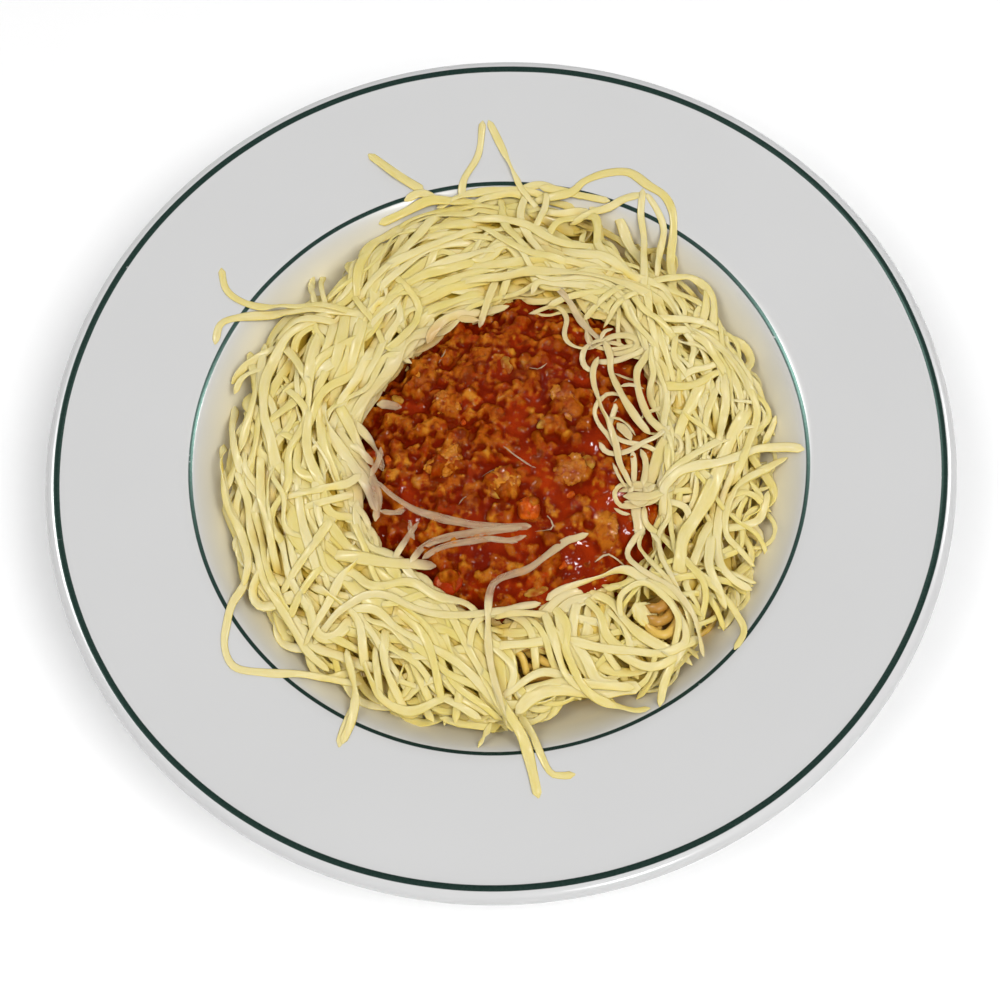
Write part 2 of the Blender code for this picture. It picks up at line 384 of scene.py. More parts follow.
class Strands:
    """Soft strands laid one on another: each rests on the bed, and then raises it. Their
    section is cos^broad_power by sin^narrow_power, so 1 and 1 is round, less is boxier."""

    def __init__(self, bed, sides, broad_power, narrow_power):
        angle = np.arange(sides) * 2 * np.pi / sides
        waves = np.c_[np.cos(angle), np.sin(angle)]
        self.section = np.sign(waves) * np.abs(waves) ** (broad_power, narrow_power) / 2
        self.bed = bed
        self.points, self.faces, self.marks = [], [], []
        self.count = 0

    def lay(self, route, width, thickness, bend, tip, draw, lean=0.6, dip=(0, 0), sink=0.9, **marks):
        """Lays a strand along a flat route. Over the bed's bumps its height is the highest
        of the parabolas that hang from each bump, made smooth; it leans with the bed, and
        its ends dip into it. Bend is the radius of those parabolas at the bump, tip the length
        that an end tapers over, lean the share of the bed's slope that it takes, dip how far
        each end dips, and sink the share of its half thickness that lifts it off the bed."""
        along = np.r_[0, np.cumsum(np.hypot(*np.diff(route, axis=0).T))]
        tangent = np.gradient(route, axis=0)
        tangent /= np.hypot(*tangent.T)[:, None]
        side = np.c_[-tangent[:, 1], tangent[:, 0]]
        across = width * np.array([-0.42, -0.2, 0, 0.2, 0.42])
        under = np.stack([self.bed.at(*(route + side * reach).T) for reach in across])
        apart = along[:, None] - along[None, :]
        blend = np.exp(-((apart / (1.1 * width)) ** 2))
        blend /= blend.sum(axis=1, keepdims=True)
        rise = (under[-1] - under[0]) / (across[-1] - across[0])
        roll = blend @ np.clip(np.arctan(rise) * lean, -0.9, 0.9)
        twist = draw.uniform(-1, 1, 3)
        roll += 0.5 * twist[0] * np.sin(along / (9 * MM) + 6 * twist[1])
        if twist[2] > 0.72:
            roll += 1.1 * np.exp(-(((along / along[-1] - 0.5 - twist[0] / 3) / 0.12) ** 2))
        floor = under[2] * 0.5 + under.max(axis=0) * 0.5
        height = (floor[None, :] - apart**2 / (2 * bend)).max(axis=1)
        half = np.hypot(0.5 * thickness * np.cos(roll), 0.3 * width * np.sin(roll))
        from_end = np.minimum(along, along[-1] - along)
        height = blend @ height + sink * half
        height -= dip[0] * np.exp(-((along / DIP_REACH) ** 2))
        height -= dip[1] * np.exp(-(((along[-1] - along) / DIP_REACH) ** 2))

        uneven = 1 + 0.10 * np.sin(along / (6 * MM) + 6 * twist[1])
        uneven += 0.06 * np.sin(along / (2.3 * MM) + 6 * twist[2])
        taper = np.sqrt(np.clip(1 - (1 - np.minimum(from_end / tip, 1)) ** 2, 0.04, 1))
        wide = width * uneven * taper
        thick = thickness * (1 + 0.5 * (1 - uneven)) * taper**0.7

        middle = np.c_[route, height]
        tangent = np.gradient(middle, axis=0)
        tangent /= np.linalg.norm(tangent, axis=1)[:, None]
        flat = np.c_[side, 0 * height]
        normal = np.cross(tangent, flat)
        cos, sin = np.cos(roll)[:, None], np.sin(roll)[:, None]
        broad = (flat * cos + normal * sin) * wide[:, None]
        narrow = (normal * cos - flat * sin) * thick[:, None]
        rings = (
            middle[:, None, :]
            + broad[:, None, :] * self.section[None, :, :1]
            + narrow[:, None, :] * self.section[None, :, 1:]
        )
        ends = middle[[0, -1]] + tangent[[0, -1]] * np.array([[-0.2], [0.2]]) * thickness
        marks["grain_across"] = wide[:, None] * self.section[:, 0] + 0.1 * twist[0]
        marks["grain_along"] = along[:, None] + 0.3 * twist[1]
        self.add(rings, ends, marks)
        self.press(middle, broad, narrow)

    def add(self, rings, ends, marks):
        """Keeps a strand's rings of points, its quads, and a fan of triangles on each end."""
        rows, sides = rings.shape[:2]
        here = np.arange(sides)
        after = (here + 1) % sides
        row = self.count + np.arange(rows - 1)[:, None] * sides
        quads = np.stack([row + here, row + after, row + sides + after, row + sides + here], -1)
        last = self.count + (rows - 1) * sides
        start, stop = last + sides, last + sides + 1
        self.faces += quads.reshape(-1, 4).tolist()
        self.faces += np.stack([0 * here + start, self.count + after, self.count + here], -1).tolist()
        self.faces += np.stack([0 * here + stop, last + here, last + after], -1).tolist()
        points = np.concatenate([rings.reshape(-1, 3), ends])
        self.points.append(points)
        kept = {}
        for name, value in marks.items():
            value = value + np.zeros((rows, sides))
            kept[name] = np.r_[value.ravel(), value[0].mean(), value[-1].mean()]
        self.marks.append(kept)
        self.count += len(points)

    def press(self, middle, broad, narrow):
        """Raises the bed to the strand's top, at points finer than the bed's cells."""
        fine = np.linspace(0, len(middle) - 1, 4 * len(middle))
        low = np.minimum(fine.astype(int), len(middle) - 2)
        part = (fine - low)[:, None]
        middle, broad, narrow = (
            line[low] * (1 - part) + line[low + 1] * part for line in (middle, broad, narrow)
        )
        for reach in np.linspace(-0.5, 0.5, 9):
            crown = np.sqrt(1 - (1.9 * reach) ** 2) / 2
            top = middle + broad * reach + narrow * crown * np.sign(narrow[:, 2:] + 1e-9)
            self.bed.raise_to(*top.T)

    def finished(self, name, finish, extra=None):
        """All strands as one piece; extra gives rules for marks that follow from the places."""
        points = np.concatenate(self.points)
        marks = {
            mark: np.concatenate([kept[mark] for kept in self.marks]) for mark in self.marks[0]
        }
        for mark, rule in (extra or {}).items():
            marks[mark] = rule(points)
        return solid(name, points, self.faces, finish, marks)


SPAGHETTI_OUTLINE = (86 * MM, ((1, 1.5 * MM, 30), (2, 2 * MM, 71), (3, 2 * MM, 70)))
SPAGHETTI_EDGE_HEIGHT = 29 * MM
SPAGHETTI_CROWN = 9.5 * MM
SPAGHETTI_THICKNESS = 2.4 * MM
SPAGHETTI_SECTION = (8, 1.0, 1.0)
SPAGHETTI_BATCHES = 14
BATCH = 12  # strands that are started at once
CORE_INSET = 6 * MM
CORE_COVER = 6.5 * MM  # of strands over the plain core


def spaghetti_top(x, y):
    """The heap's mean top: a low dome over its outline."""
    across = np.hypot(x, y) / outline_radius(SPAGHETTI_OUTLINE, np.arctan2(y, x))
    return SPAGHETTI_EDGE_HEIGHT + SPAGHETTI_CROWN * np.clip(1 - across**2, 0, 1)


def along_strands(finish, fine, stretch):
    """Noise drawn out along each strand, by marks that measure across it and along it."""
    across, along = finish.attribute("grain_across"), finish.attribute("grain_along")
    place = finish.node("CombineXYZ", inputs={"X": across, "Y": along / stretch})
    return finish.noise(place, fine, 3)


def spaghetti_finish():
    """Moist boiled wheat: pale tan, yellower where thick, wet in places, stained by sauce."""
    finish = Finish(
        "spaghetti",
        {
            "Subsurface Weight": 0.2,
            "Subsurface Radius": (1.0, 0.7, 0.4),
            "Subsurface Scale": 0.0012,
            "Specular IOR Level": 0.3,
            "Coat Weight": 0.12,
            "Coat Roughness": 0.2,
        },
    )
    place = finish.place()
    tone = finish.attribute("tone")
    stain = finish.attribute("stain")
    cloud = finish.noise(place, 260, 3)
    pale = finish.mix(tone * 0.6 + cloud * 0.4, (0.62, 0.38, 0.05), (0.72, 0.50, 0.11))
    colour = finish.mix(stain, pale, (0.30, 0.085, 0.003))
    grain = finish.noise(place, 900, 2)
    skin = finish.bump(grain + cloud, 0.06 * MM, 0.5)
    return finish.vary(Base_Color=colour, Roughness=0.28 + 0.25 * cloud, Normal=skin)


def turning_routes(starts, draw, length, heading, steer, step):
    """Routes of several strands at once: each heads where steer says, and wanders by two
    slow waves of its own."""
    count, steps = len(starts), int(length.max() / step)
    place = starts.copy()
    track = [place.copy()]
    phase = draw.uniform(0, 2 * np.pi, (2, count))
    period = draw.uniform(16, 42, (2, count)) * MM
    swing = draw.normal(0, 0.30, (2, count))
    for i in range(steps):
        wanted = steer(place, heading)
        heading = heading + 0.22 * np.sin(wanted - heading)
        wander = swing * np.sin(i * step / period * 2 * np.pi + phase)
        course = heading + wander.sum(axis=0)
        place = place + step * np.c_[np.cos(course), np.sin(course)]
        track.append(place.copy())
    track = np.stack(track, axis=1)
    return [track[i, : max(6, int(length[i] / step))] for i in range(count)]


def wound_round(place, heading):
    """Spaghetti winds round the middle of the well, and turns back at the heap's edge."""
    angle = np.arctan2(place[:, 1], place[:, 0])
    edge = outline_radius(SPAGHETTI_OUTLINE, angle) - 6 * MM
    outside = np.clip((np.hypot(*place.T) - edge) / (8 * MM), 0, 1)
    round_about = angle + np.pi / 2
    along = round_about + np.pi * (np.cos(heading - round_about) < 0)
    inward = np.sin(angle + np.pi - along) * outside * 0.8
    return along + inward


def lay_spaghetti(bed):
    """Starts strands where the heap is lowest, and stops each where it would pile too high."""
    draw = np.random.default_rng(11)
    strands = Strands(bed, *SPAGHETTI_SECTION)
    edge = outline_radius(SPAGHETTI_OUTLINE, np.arctan2(bed.y, bed.x))
    cells = np.flatnonzero(np.hypot(bed.x, bed.y) < edge - 3 * MM)
    for batch in range(SPAGHETTI_BATCHES):
        short = np.clip((spaghetti_top(bed.x, bed.y) - bed.height).ravel()[cells], 0, 6 * MM) ** 2
        picked = draw.choice(cells, BATCH, p=short / short.sum())
        starts = np.c_[bed.x.ravel()[picked], bed.y.ravel()[picked]]
        length, heading = draw.uniform(60, 150, BATCH) * MM, draw.uniform(0, 2 * np.pi, BATCH)
        for route in turning_routes(starts, draw, length, heading, wound_round, 2.2 * MM):
            high = bed.at(*route.T) > spaghetti_top(*route.T) - 0.5 * MM
            stop = np.argmax(high) if high.any() else len(route)
            if stop > 8:
                around = SPAGHETTI_THICKNESS * draw.uniform(0.92, 1.08)
                strands.lay(
                    route[:stop], around, around, 16 * MM, 0.8 * MM, draw, 0, tone=draw.uniform()
                )
    return strands


def core_edge(angle):
    return outline_radius(SPAGHETTI_OUTLINE, angle) - CORE_INSET


bed = Bed()
core_top = spaghetti_top(bed.x, bed.y) - CORE_COVER + 1.0 * MM * wave_sum(bed.x, bed.y, 9 * MM, 3)
in_core = np.hypot(bed.x, bed.y) < core_edge(np.arctan2(bed.y, bed.x))
bed.height = np.where(in_core, np.maximum(bed.height, core_top), bed.height)


def rounded_disc(name, edge, height, cells, foot, finish, rules=None):
    """A square grid rounded to a disc, x = u sqrt(1 - v^2/2) and y = v sqrt(1 - u^2/2), spread
    to its edge; from its border a fan runs down to one point, foot, inside the heap."""
    u, v = np.meshgrid(np.linspace(-1, 1, cells), np.linspace(-1, 1, cells), indexing="ij")
    x, y = u * np.sqrt(1 - v**2 / 2), v * np.sqrt(1 - u**2 / 2)
    spread = edge(np.arctan2(y, x))
    x, y = x * spread, y * spread
    index = np.arange(cells * cells).reshape(cells, cells)
    quads = np.stack(
        [index[:-1, :-1], index[1:, :-1], index[1:, 1:], index[:-1, 1:]], axis=-1
    ).reshape(-1, 4)
    border = np.r_[index[:-1, 0], index[-1, :-1], index[:0:-1, -1], index[0, :0:-1]]
    fan = np.stack([0 * border + cells * cells, np.roll(border, -1), border], axis=-1)
    points = np.stack([x, y, height(x, y)], axis=-1).reshape(-1, 3)
    points = np.concatenate([points, [foot]])
    marks = {mark: rule(points) for mark, rule in (rules or {}).items()}
    return solid(name, points, quads.tolist() + fan.tolist(), finish, marks)


def sauce_spot(points):
    """How far the sauce has stained the heap: most in the middle, less outwards by an oval."""
    across = np.hypot(points[:, 0] / (62 * MM), points[:, 1] / (74 * MM))
    return np.clip(1.35 - across, 0, 1) ** 0.6


spaghetti_look = spaghetti_finish()
spaghetti_core = rounded_disc(
    "spaghetti_core",
    core_edge,
    lambda x, y: bed.at(x, y) - 0.3 * MM,
    120,
    (0, 0, FLOOR_HEIGHT + 0.5 * MM),
    spaghetti_look,
    {"tone": lambda points: 0 * points[:, 0] + 0.2, "stain": sauce_spot},
)
spaghetti_strands = lay_spaghetti(bed).finished(
    "spaghetti_strands", spaghetti_look, {"stain": lambda points: 0.5 * sauce_spot(points)}
)

# Spaghetti that shows: mounds under two gaps in the cheese, each its place, reach and height in
# mm, and its stain; then the strands on them, each its thickness in mm, its stain, its tone,
# and the places in mm that it passes.
MOUNDS = ((45.5, -66, 5.5, 36.5, 0.4), (4, -74.5, 9, 34, 0.6))
SHOWN_STRANDS = (
    (3.4, 0.05, 0.2, 38.5, -66, 40, -72, 45, -75.5, 50, -73, 52.5, -67),
    (3.4, 0.1, 0.7, 39.5, -63, 41.5, -69.5, 45.5, -72, 49.5, -69, 51.5, -63),
    (3.8, 0.55, 0.3, 41, -66, 44, -68, 48, -66, 50, -61),
    (3.8, 0.65, 0.1, 41, -62.5, 44, -64, 47.5, -62, 49, -58),
    (2.6, 0.6, 0, -1, -79, 5, -78.5, 12, -79),
    (2.4, 0.3, 0.2, 0, -74, 5, -76, 10, -76.5, 14, -76),
    (2.6, 0.15, 0.6, 1, -70, 4, -72, 8, -75, 13, -76),
    (2.6, 0.5, 0, -2, -70, 2, -69, 8, -70, 14, -72),
    (2.6, 0, 0.6, -6, -79, -4.5, -73.5, -2.2, -70.5, 0, -72.5, 1, -79),
)


def shown_spaghetti(bed):
    """Each level of a mound is a row of bowed strands, turned from the level beneath it."""
    draw = np.random.default_rng(15)
    strands = Strands(bed, *SPAGHETTI_SECTION)

    def lay(places, around, **marks):
        route = smooth_route(places * MM, 1.5 * MM)
        strands.lay(route, around * MM, around * MM, 14 * MM, 1.0 * MM, draw, 0, **marks)

    for x, y, reach, height, stain in MOUNDS:
        for level in range(6):
            if bed.at(x * MM, y * MM) > (height - 1) * MM:
                break
            way = np.array([np.cos(2.1 * level), np.sin(2.1 * level)])
            for off in np.arange(1.3 - reach, reach, 2.7):
                along = np.linspace(-1, 1, 9)[:, None] * np.sqrt(reach**2 - off**2)
                bow = off + draw.uniform(-0.12, 0.12) * (along**2 - along[0] ** 2)
                places = (x, y) + along * way + bow * way[::-1] * (-1, 1)
                lay(places, 2.5, tone=draw.uniform(), stain=stain)
    for around, stain, tone, *places in SHOWN_STRANDS:
        lay(np.array(places).reshape(-1, 2), around, tone=tone, stain=stain)
    return strands


spaghetti_swirl = shown_spaghetti(bed).finished("spaghetti_swirl", spaghetti_look)
for piece in (spaghetti_core, spaghetti_strands, spaghetti_swirl):
    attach(piece, "root")
    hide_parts("spaghetti")

# ---------------------------------------------------------------------------------------
# The sauce: minced beef stewed in tomato, ladled over the middle. One closed skin holds the
# liquid and the crumbs of meat in it, from single grains to clumps as wide as a pea.
# ---------------------------------------------------------------------------------------

# Where the sauce lies open inside the ring: heading in degrees, and the reach in mm.
POOL = (
    (0, 53), (8, 54), (20, 56), (30, 58), (40, 60), (50, 57), (58, 56), (68, 54), (75, 57), (84, 48),
    (103, 45), (117, 44), (129, 42), (143, 41), (159, 45), (170, 44), (191, 46), (200, 50),
    (214, 50), (225, 49), (239, 52), (250, 57), (265, 58), (275, 58), (283, 55), (296, 56),
    (306, 60), (314, 60), (325, 59), (338, 54), (350, 52),
)

SAUCE_UNDER = 7 * MM  # how far it runs on beneath the cheese
SAUCE_EDGE_DEPTH = 2.5 * MM
SAUCE_CROWN = 9.0 * MM
LIQUID_DROP = 2.0 * MM
# The crumbs of meat, coarse to fine: how many, their least and greatest radius in mm, and their
# height over their lesser radius.
CRUMBS = ((170, 2.0, 3.6, 0.65), (1100, 1.0, 2.0, 0.9), (2600, 0.6, 1.1, 1.2))


def pool_reach(angle):
    heading, reach = np.array(POOL).T
    return np.interp(np.degrees(angle), heading, reach, period=360) * MM


def past_pool(x, y):
    """How far outside the open sauce's edge a place is."""
    return np.hypot(x, y) - pool_reach(np.arctan2(y, x))


def sauce_edge(angle):
    return pool_reach(angle) + SAUCE_UNDER


def sauce_level(x, y):
    """The sauce's mean top: the spaghetti's dome, and a pool that is deepest in the middle."""
    across = np.hypot(x, y) / sauce_edge(np.arctan2(y, x))
    pool = SAUCE_EDGE_DEPTH + SAUCE_CROWN * np.clip(1 - across**3.5, 0, 1)
    return spaghetti_top(x, y) + pool


# Each clump that stands out: its CAD solid, half sizes in mm, and its turn in degrees.
MINCE_CLUMPS = (
    ("mince_lump_1", (8.5, 5.6, 5.0), 35),
    ("mince_lump_2", (5.6, 7.0, 4.6), 10),
    ("mince_lump_3", (6.0, 6.4, 4.6), 20),
    ("mince_lump_4", (5.4, 6.8, 4.6), -10),
    ("mince_lump_5", (4.8, 7.6, 4.6), 15),
    ("mince_lump_6", (5.2, 5.6, 4.4), 0),
    ("mince_lump_7", (6.0, 6.6, 4.2), 30),
)
SUNK = 0.75  # of the CAD lump's half height, which leaves a flatter top
CARROT = ("carrot_piece", (4.4, 4.8, 3.4), 0)
TOMATO = ("tomato_piece", (6.2, 5.4, 3.6), 40)


def middle_of(node):
    return np.mean(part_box(node), axis=0)


class Sauce:
    """The skin's height over the bed's grid, with how meaty each place is and its tone."""

    def __init__(self, bed):
        self.x, self.y = bed.x, bed.y
        across = np.hypot(bed.x, bed.y) / sauce_edge(np.arctan2(bed.y, bed.x))
        self.edge = np.clip((1 - across) / 0.05, 0, 1) ** 0.5
        wobble = 0.7 * MM * wave_sum(bed.x, bed.y, 15 * MM, 5)
        self.height = sauce_level(bed.x, bed.y) - LIQUID_DROP + wobble
        self.meat = 0 * self.height
        self.tone = 0.5 + 0 * self.height

    def clump(self, place, half, tall, turn, tone, meat, draw):
        """Adds a lump of half sizes half that stands tall: (1 - q^2.4)^0.6 of that, where q is
        the distance from its middle over an outline that three waves make uneven."""
        reach = int(1.5 * max(half) / CELL) + 1
        i, j = (int(round((value + BED_HALF) / CELL)) for value in place)
        patch = (slice(i - reach, i + reach + 1), slice(j - reach, j + reach + 1))
        x, y = self.x[patch] - place[0], self.y[patch] - place[1]
        cos, sin = np.cos(turn), np.sin(turn)
        along, aside = (x * cos + y * sin) / half[0], (y * cos - x * sin) / half[1]
        angle = np.arctan2(aside, along)
        phase = draw.uniform(0, 2 * np.pi, 3)
        uneven = 1 + 0.13 * np.cos(2 * angle + phase[0]) + 0.10 * np.cos(3 * angle + phase[1])
        uneven += 0.07 * np.cos(5 * angle + phase[2])
        q = np.hypot(along, aside) / uneven
        top = self.height[i, j] + tall * np.clip(1 - q**2.4, 0, 1) ** 0.6
        above = (q < 1) & (top > self.height[patch])
        self.height[patch] = np.where(above, top, self.height[patch])
        self.meat[patch] = np.where(above, meat, self.meat[patch])
        self.tone[patch] = np.where(above, tone, self.tone[patch])

    def between(self, field, x, y):
        """A field's value between its cells, by straight lines both ways."""
        u, v = (x + BED_HALF) / CELL, (y + BED_HALF) / CELL
        i, j = u.astype(int), v.astype(int)
        u, v = u - i, v - j
        near = field[i, j] * (1 - u) + field[i + 1, j] * u
        far = field[i, j + 1] * (1 - u) + field[i + 1, j + 1] * u
        return near * (1 - v) + far * v


def stewed(bed):
    """The sauce with a rise over each large piece, and its crumbs, which lie closer on the far
    side and to the left. The liquid rounds it all, and sinks between the grains of meat."""
    draw = np.random.default_rng(23)
    sauce = Sauce(bed)
    for node, half, turn in (*MINCE_CLUMPS, CARROT, TOMATO):
        centre = middle_of(node)
        i, j = bed.cell(*centre[:2])
        half = np.array(half) * MM
        tall = centre[2] + half[2] * SUNK - 1.0 * MM - sauce.height[i, j]
        sauce.clump(centre[:2], half[:2] * 0.9, tall, np.radians(turn), 0.7, 0.8, draw)
    for count, least, most, steep in CRUMBS:
        angle, distance = draw.uniform(0, 2 * np.pi, count), np.sqrt(draw.uniform(0, 1, count))
        reach = distance * sauce_edge(angle) * 0.97
        places = np.c_[reach * np.cos(angle), reach * np.sin(angle)]
        crowd = wave_sum(*places.T, 22 * MM, 8)
        crowd = crowd + 0.8 * places[:, 1] / (60 * MM) - 0.7 * places[:, 0] / (60 * MM)
        for place, thick in zip(places, crowd):
            size = draw.uniform(least, most) * MM * np.array([1.25, draw.uniform(0.45, 1.1)])
            tone, meat, turn = draw.uniform(0, 1, 3)
            if thick > draw.uniform(-1.9, 0.9):
                tall, meat = steep * size.min(), 0.35 + 0.65 * meat
                sauce.clump(place, size, tall, 3 * turn, tone, meat, draw)
    grains = np.abs(wave_sum(bed.x, bed.y, 3.4 * MM, 91))
    grains = grains + np.abs(wave_sum(bed.x, bed.y, 1.9 * MM, 92))
    film = blurred(sauce.height, 0.7) - (0.12 + 0.38 * sauce.meat) * (1.2 - grains) * MM
    # low is how far a place sinks below its surroundings: it sets the painted shade in the hollows, and
    # less gloss there.
    sauce.low = np.clip((blurred(sauce.height, 3.5) - film) / (0.9 * MM), 0, 1)
    sauce.meat = blurred(sauce.meat, 0.6)
    sauce.tone = blurred(sauce.tone, 0.6)
    floor = np.minimum(bed.height - 1.2 * MM, spaghetti_top(bed.x, bed.y) - 1.5 * MM)
    sauce.height = floor + (np.maximum(film, floor) - floor) * sauce.edge
    return sauce


def sauce_finish():
    """Wet red oil and tomato, brown-orange where meat stands in it, with painted shade darkening the
    hollows.
    """
    wet = {"Specular IOR Level": 0.0, "Coat IOR": 1.36, "Coat Roughness": 0.05}
    finish = Finish("sauce", wet)
    place = finish.place()
    cloud = finish.noise(place, 70, 3)
    grain = finish.noise(place, 420, 3)
    fine = finish.noise(place, 1400, 2)
    tone = finish.attribute("tone")
    meat = finish.attribute("meat")
    low = finish.attribute("low")
    liquid = finish.mix(cloud.above(0.5, 0.4), (0.15, 0.007, 0.0003), (0.34, 0.028, 0.0004))
    brown = finish.mix(tone.above(0.30, 0.35), (0.165, 0.019, 0.0005), (0.35, 0.075, 0.0025))
    brown = finish.mix(tone.above(0.80, 0.35), brown, (0.52, 0.20, 0.014))
    meaty = (meat + (grain - 0.5) * 0.9 + (fine - 0.5) * 0.6).above(0.5, 0.5)
    colour = finish.mix(meaty, liquid, brown)
    # Painted shade: the hollows darken to near-black red.
    colour = finish.mix(low.above(0.4, 0.6) * 0.85, colour, (0.118, 0.005, 0.0001))
    skin = finish.bump(grain * 0.6 + fine * 0.4, 0.6 * MM, 0.8)
    gloss = 0.27 - 0.2 * low
    rough = 0.3 + 0.2 * fine
    return finish.vary(Base_Color=colour, Roughness=rough, Coat_Weight=gloss, Normal=skin)


sauce = stewed(bed)
fields = {"meat": sauce.meat, "tone": sauce.tone, "low": sauce.low}
sauce_skin = rounded_disc(
    "sauce_skin",
    sauce_edge,
    lambda x, y: sauce.between(sauce.height, x, y),
    264,
    (0, 0, 22 * MM),
    sauce_finish(),
    {
        mark: lambda points, field=field: sauce.between(field, *points[:, :2].T)
        for mark, field in fields.items()
    },
)
bed.height = np.where(sauce.edge > 0, np.maximum(bed.height, sauce.height), bed.height)
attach(sauce_skin, "root")
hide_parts("bolognese_sauce")

# ---------------------------------------------------------------------------------------
# The larger pieces in the sauce: seven clumps of mince, a slice of carrot and a piece of
# tomato, each sunk in the liquid and coated with it.
# ---------------------------------------------------------------------------------------


def ball(steps):
    """A unit ball from six square faces, each point pushed out to the ball; its grid of
    directions and its quads, with the faces' shared edges merged."""
    angle = np.linspace(-np.pi / 4, np.pi / 4, steps)
    u, v = np.meshgrid(np.tan(angle), np.tan(angle), indexing="ij")
    one = np.ones_like(u)
    sides = ((u, v, one), (v, u, -one), (one, u, v), (-one, v, u), (v, one, u), (u, -one, v))
    points = np.concatenate([np.stack(side, -1).reshape(-1, 3) for side in sides])
    index = np.arange(steps * steps).reshape(steps, steps)
    quads = np.stack([index[:-1, :-1], index[1:, :-1], index[1:, 1:], index[:-1, 1:]], -1)
    quads = np.concatenate([quads.reshape(-1, 4) + k * steps * steps for k in range(6)])
    rounded, first, back = np.unique(
        np.rint(points * 1e5).astype(int), axis=0, return_index=True, return_inverse=True
    )
    points = points[first]
    return points / np.linalg.norm(points, axis=1)[:, None], back.ravel()[quads]


def lump(place, half, turn, steps, grains, rough, blocky, draw):
    """A ball stretched to half sizes, its surface made of round grains: its distance from the
    middle rises by rough times the highest grain's own dome. Flat cuts, each rounded into the
    next, make it blocky, and ridges, the mean of |sin|, make it crumbly."""
    direction, quads = ball(steps)
    seeds = draw.normal(0, 1, (grains, 3))
    seeds /= np.linalg.norm(seeds, axis=1)[:, None]
    size = draw.uniform(0.25, 0.6, grains)
    apart = np.arccos(np.clip(direction @ seeds.T, -1, 1))
    dome = np.sqrt(np.clip(1 - (apart / size) ** 2, 0, 1)).max(axis=1)
    cuts = draw.normal(0, 1, (14, 3))
    cuts /= np.linalg.norm(cuts, axis=1)[:, None]
    cut = draw.uniform(0.62, 0.92, 14) / np.maximum(direction @ cuts.T, 0.05)
    chunk = ((np.maximum(cut, 0.3) ** -8).sum(axis=1) + 1) ** (-1 / 8)
    swell = (1 - rough * blocky + rough * blocky * dome) * (1 + blocky * (chunk - 1))
    for count in (2, 3):
        axis = draw.normal(0, 1, 3)
        swell = swell + 0.05 * np.sin(count * direction @ axis + draw.uniform(0, 6))
    half = np.array(half) * (1, 1, SUNK) * MM
    points = direction * half * swell[:, None]
    crumb = 0
    for length, height in ((4.0, 0.55), (2.2, 0.40), (1.2, 0.22)):
        wave = draw.normal(0, 1, (3, 5))
        wave *= 2 * np.pi / (length * MM) / np.linalg.norm(wave, axis=0)
        ridges = np.abs(np.sin(points @ wave + draw.uniform(0, 6, 5))).mean(axis=1)
        crumb = crumb + height * MM * 2 * (ridges - 0.6)
    points = points + direction * (rough / 0.26 * crumb)[:, None]
    cos, sin = np.cos(np.radians(turn)), np.sin(np.radians(turn))
    points = points @ np.array([(cos, sin, 0), (-sin, cos, 0), (0, 0, 1)])
    return points + place, quads, dome


def mince_finish():
    """Stewed beef: orange-brown grains with wet red sauce in between them."""
    wet = {"Coat Weight": 0.5, "Coat IOR": 1.38, "Coat Roughness": 0.06}
    finish = Finish("mince", {"Specular IOR Level": 0.0, **wet})
    place = finish.place()
    cloud = finish.noise(place, 160, 3)
    grain = finish.noise(place, 700, 3)
    dome = finish.attribute("dome")
    tone = finish.attribute("tone")
    meat = finish.mix((cloud + tone - 0.5).above(0.5, 0.7), (0.30, 0.058, 0.003), (0.54, 0.20, 0.013))
    colour = finish.mix((dome + (grain - 0.5) * 0.9).above(0.55, 0.4), (0.22, 0.020, 0.001), meat)
    film = finish.noise(place, 280, 2).above(0.56, 0.16) * 0.8
    colour = finish.mix(film, colour, (0.25, 0.022, 0.001))
    skin = finish.bump(grain, 0.5 * MM, 0.9)
    return finish.vary(Base_Color=colour, Roughness=0.08 + 0.15 * grain, Normal=skin)


def gathered(name, lumps, finish):
    """Several lumps as one piece, each with a tone of its own. A lump states its place, half
    sizes in mm, turn in degrees, steps along each of a ball's six faces, number of grains, how
    rough it is and how blocky."""
    draw = np.random.default_rng(61)
    points, faces, dome, tone = [], [], [], []
    count = 0
    for place, half, turn, steps, grains, rough, blocky in lumps:
        at, quads, rise = lump(place, half, turn, steps, grains, rough, blocky, draw)
        points.append(at)
        faces += (quads + count).tolist()
        dome.append(rise)
        tone.append(np.full(len(at), draw.uniform(0.3, 1)))
        count += len(at)
    marks = {"dome": np.concatenate(dome), "tone": np.concatenate(tone)}
    return solid(name, np.concatenate(points), faces, finish, marks)


mince = gathered(
    "mince_clumps",
    [(middle_of(node), half, turn, 34, 90, 0.22, 1.0) for node, half, turn in MINCE_CLUMPS],
    mince_finish(),
)
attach(mince, "root")
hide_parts(*[node for node, half, turn in MINCE_CLUMPS])


def vegetable_finish(name, pale, deep):
    """Soft stewed vegetable flesh under a film of sauce."""
    gloss = {"IOR": 1.4, "Specular IOR Level": 0.25, "Specular Tint": (1.0, 0.6, 0.3, 1.0)}
    finish = Finish(name, gloss)
    place = finish.place()
    cloud = finish.noise(place, 190, 3)
    grain = finish.noise(place, 800, 2)
    colour = finish.mix((cloud + 0.3 * grain).above(0.62, 0.4), deep, pale)
    film = finish.noise(place, 300, 2).above(0.5, 0.2) * 0.75
    colour = finish.mix(film, colour, (0.24, 0.022, 0.001))
    skin = finish.bump(grain, 0.12 * MM, 0.6)
    return finish.vary(Base_Color=colour, Roughness=0.2 + 0.2 * grain, Normal=skin)


def on_sauce(x, y, rise):
    """The middle of a piece that floats in the sauce, at x and y and that much above it."""
    at = np.array([x, y]) * MM
    return np.array([*at, sauce.between(sauce.height, *at) + rise * MM])


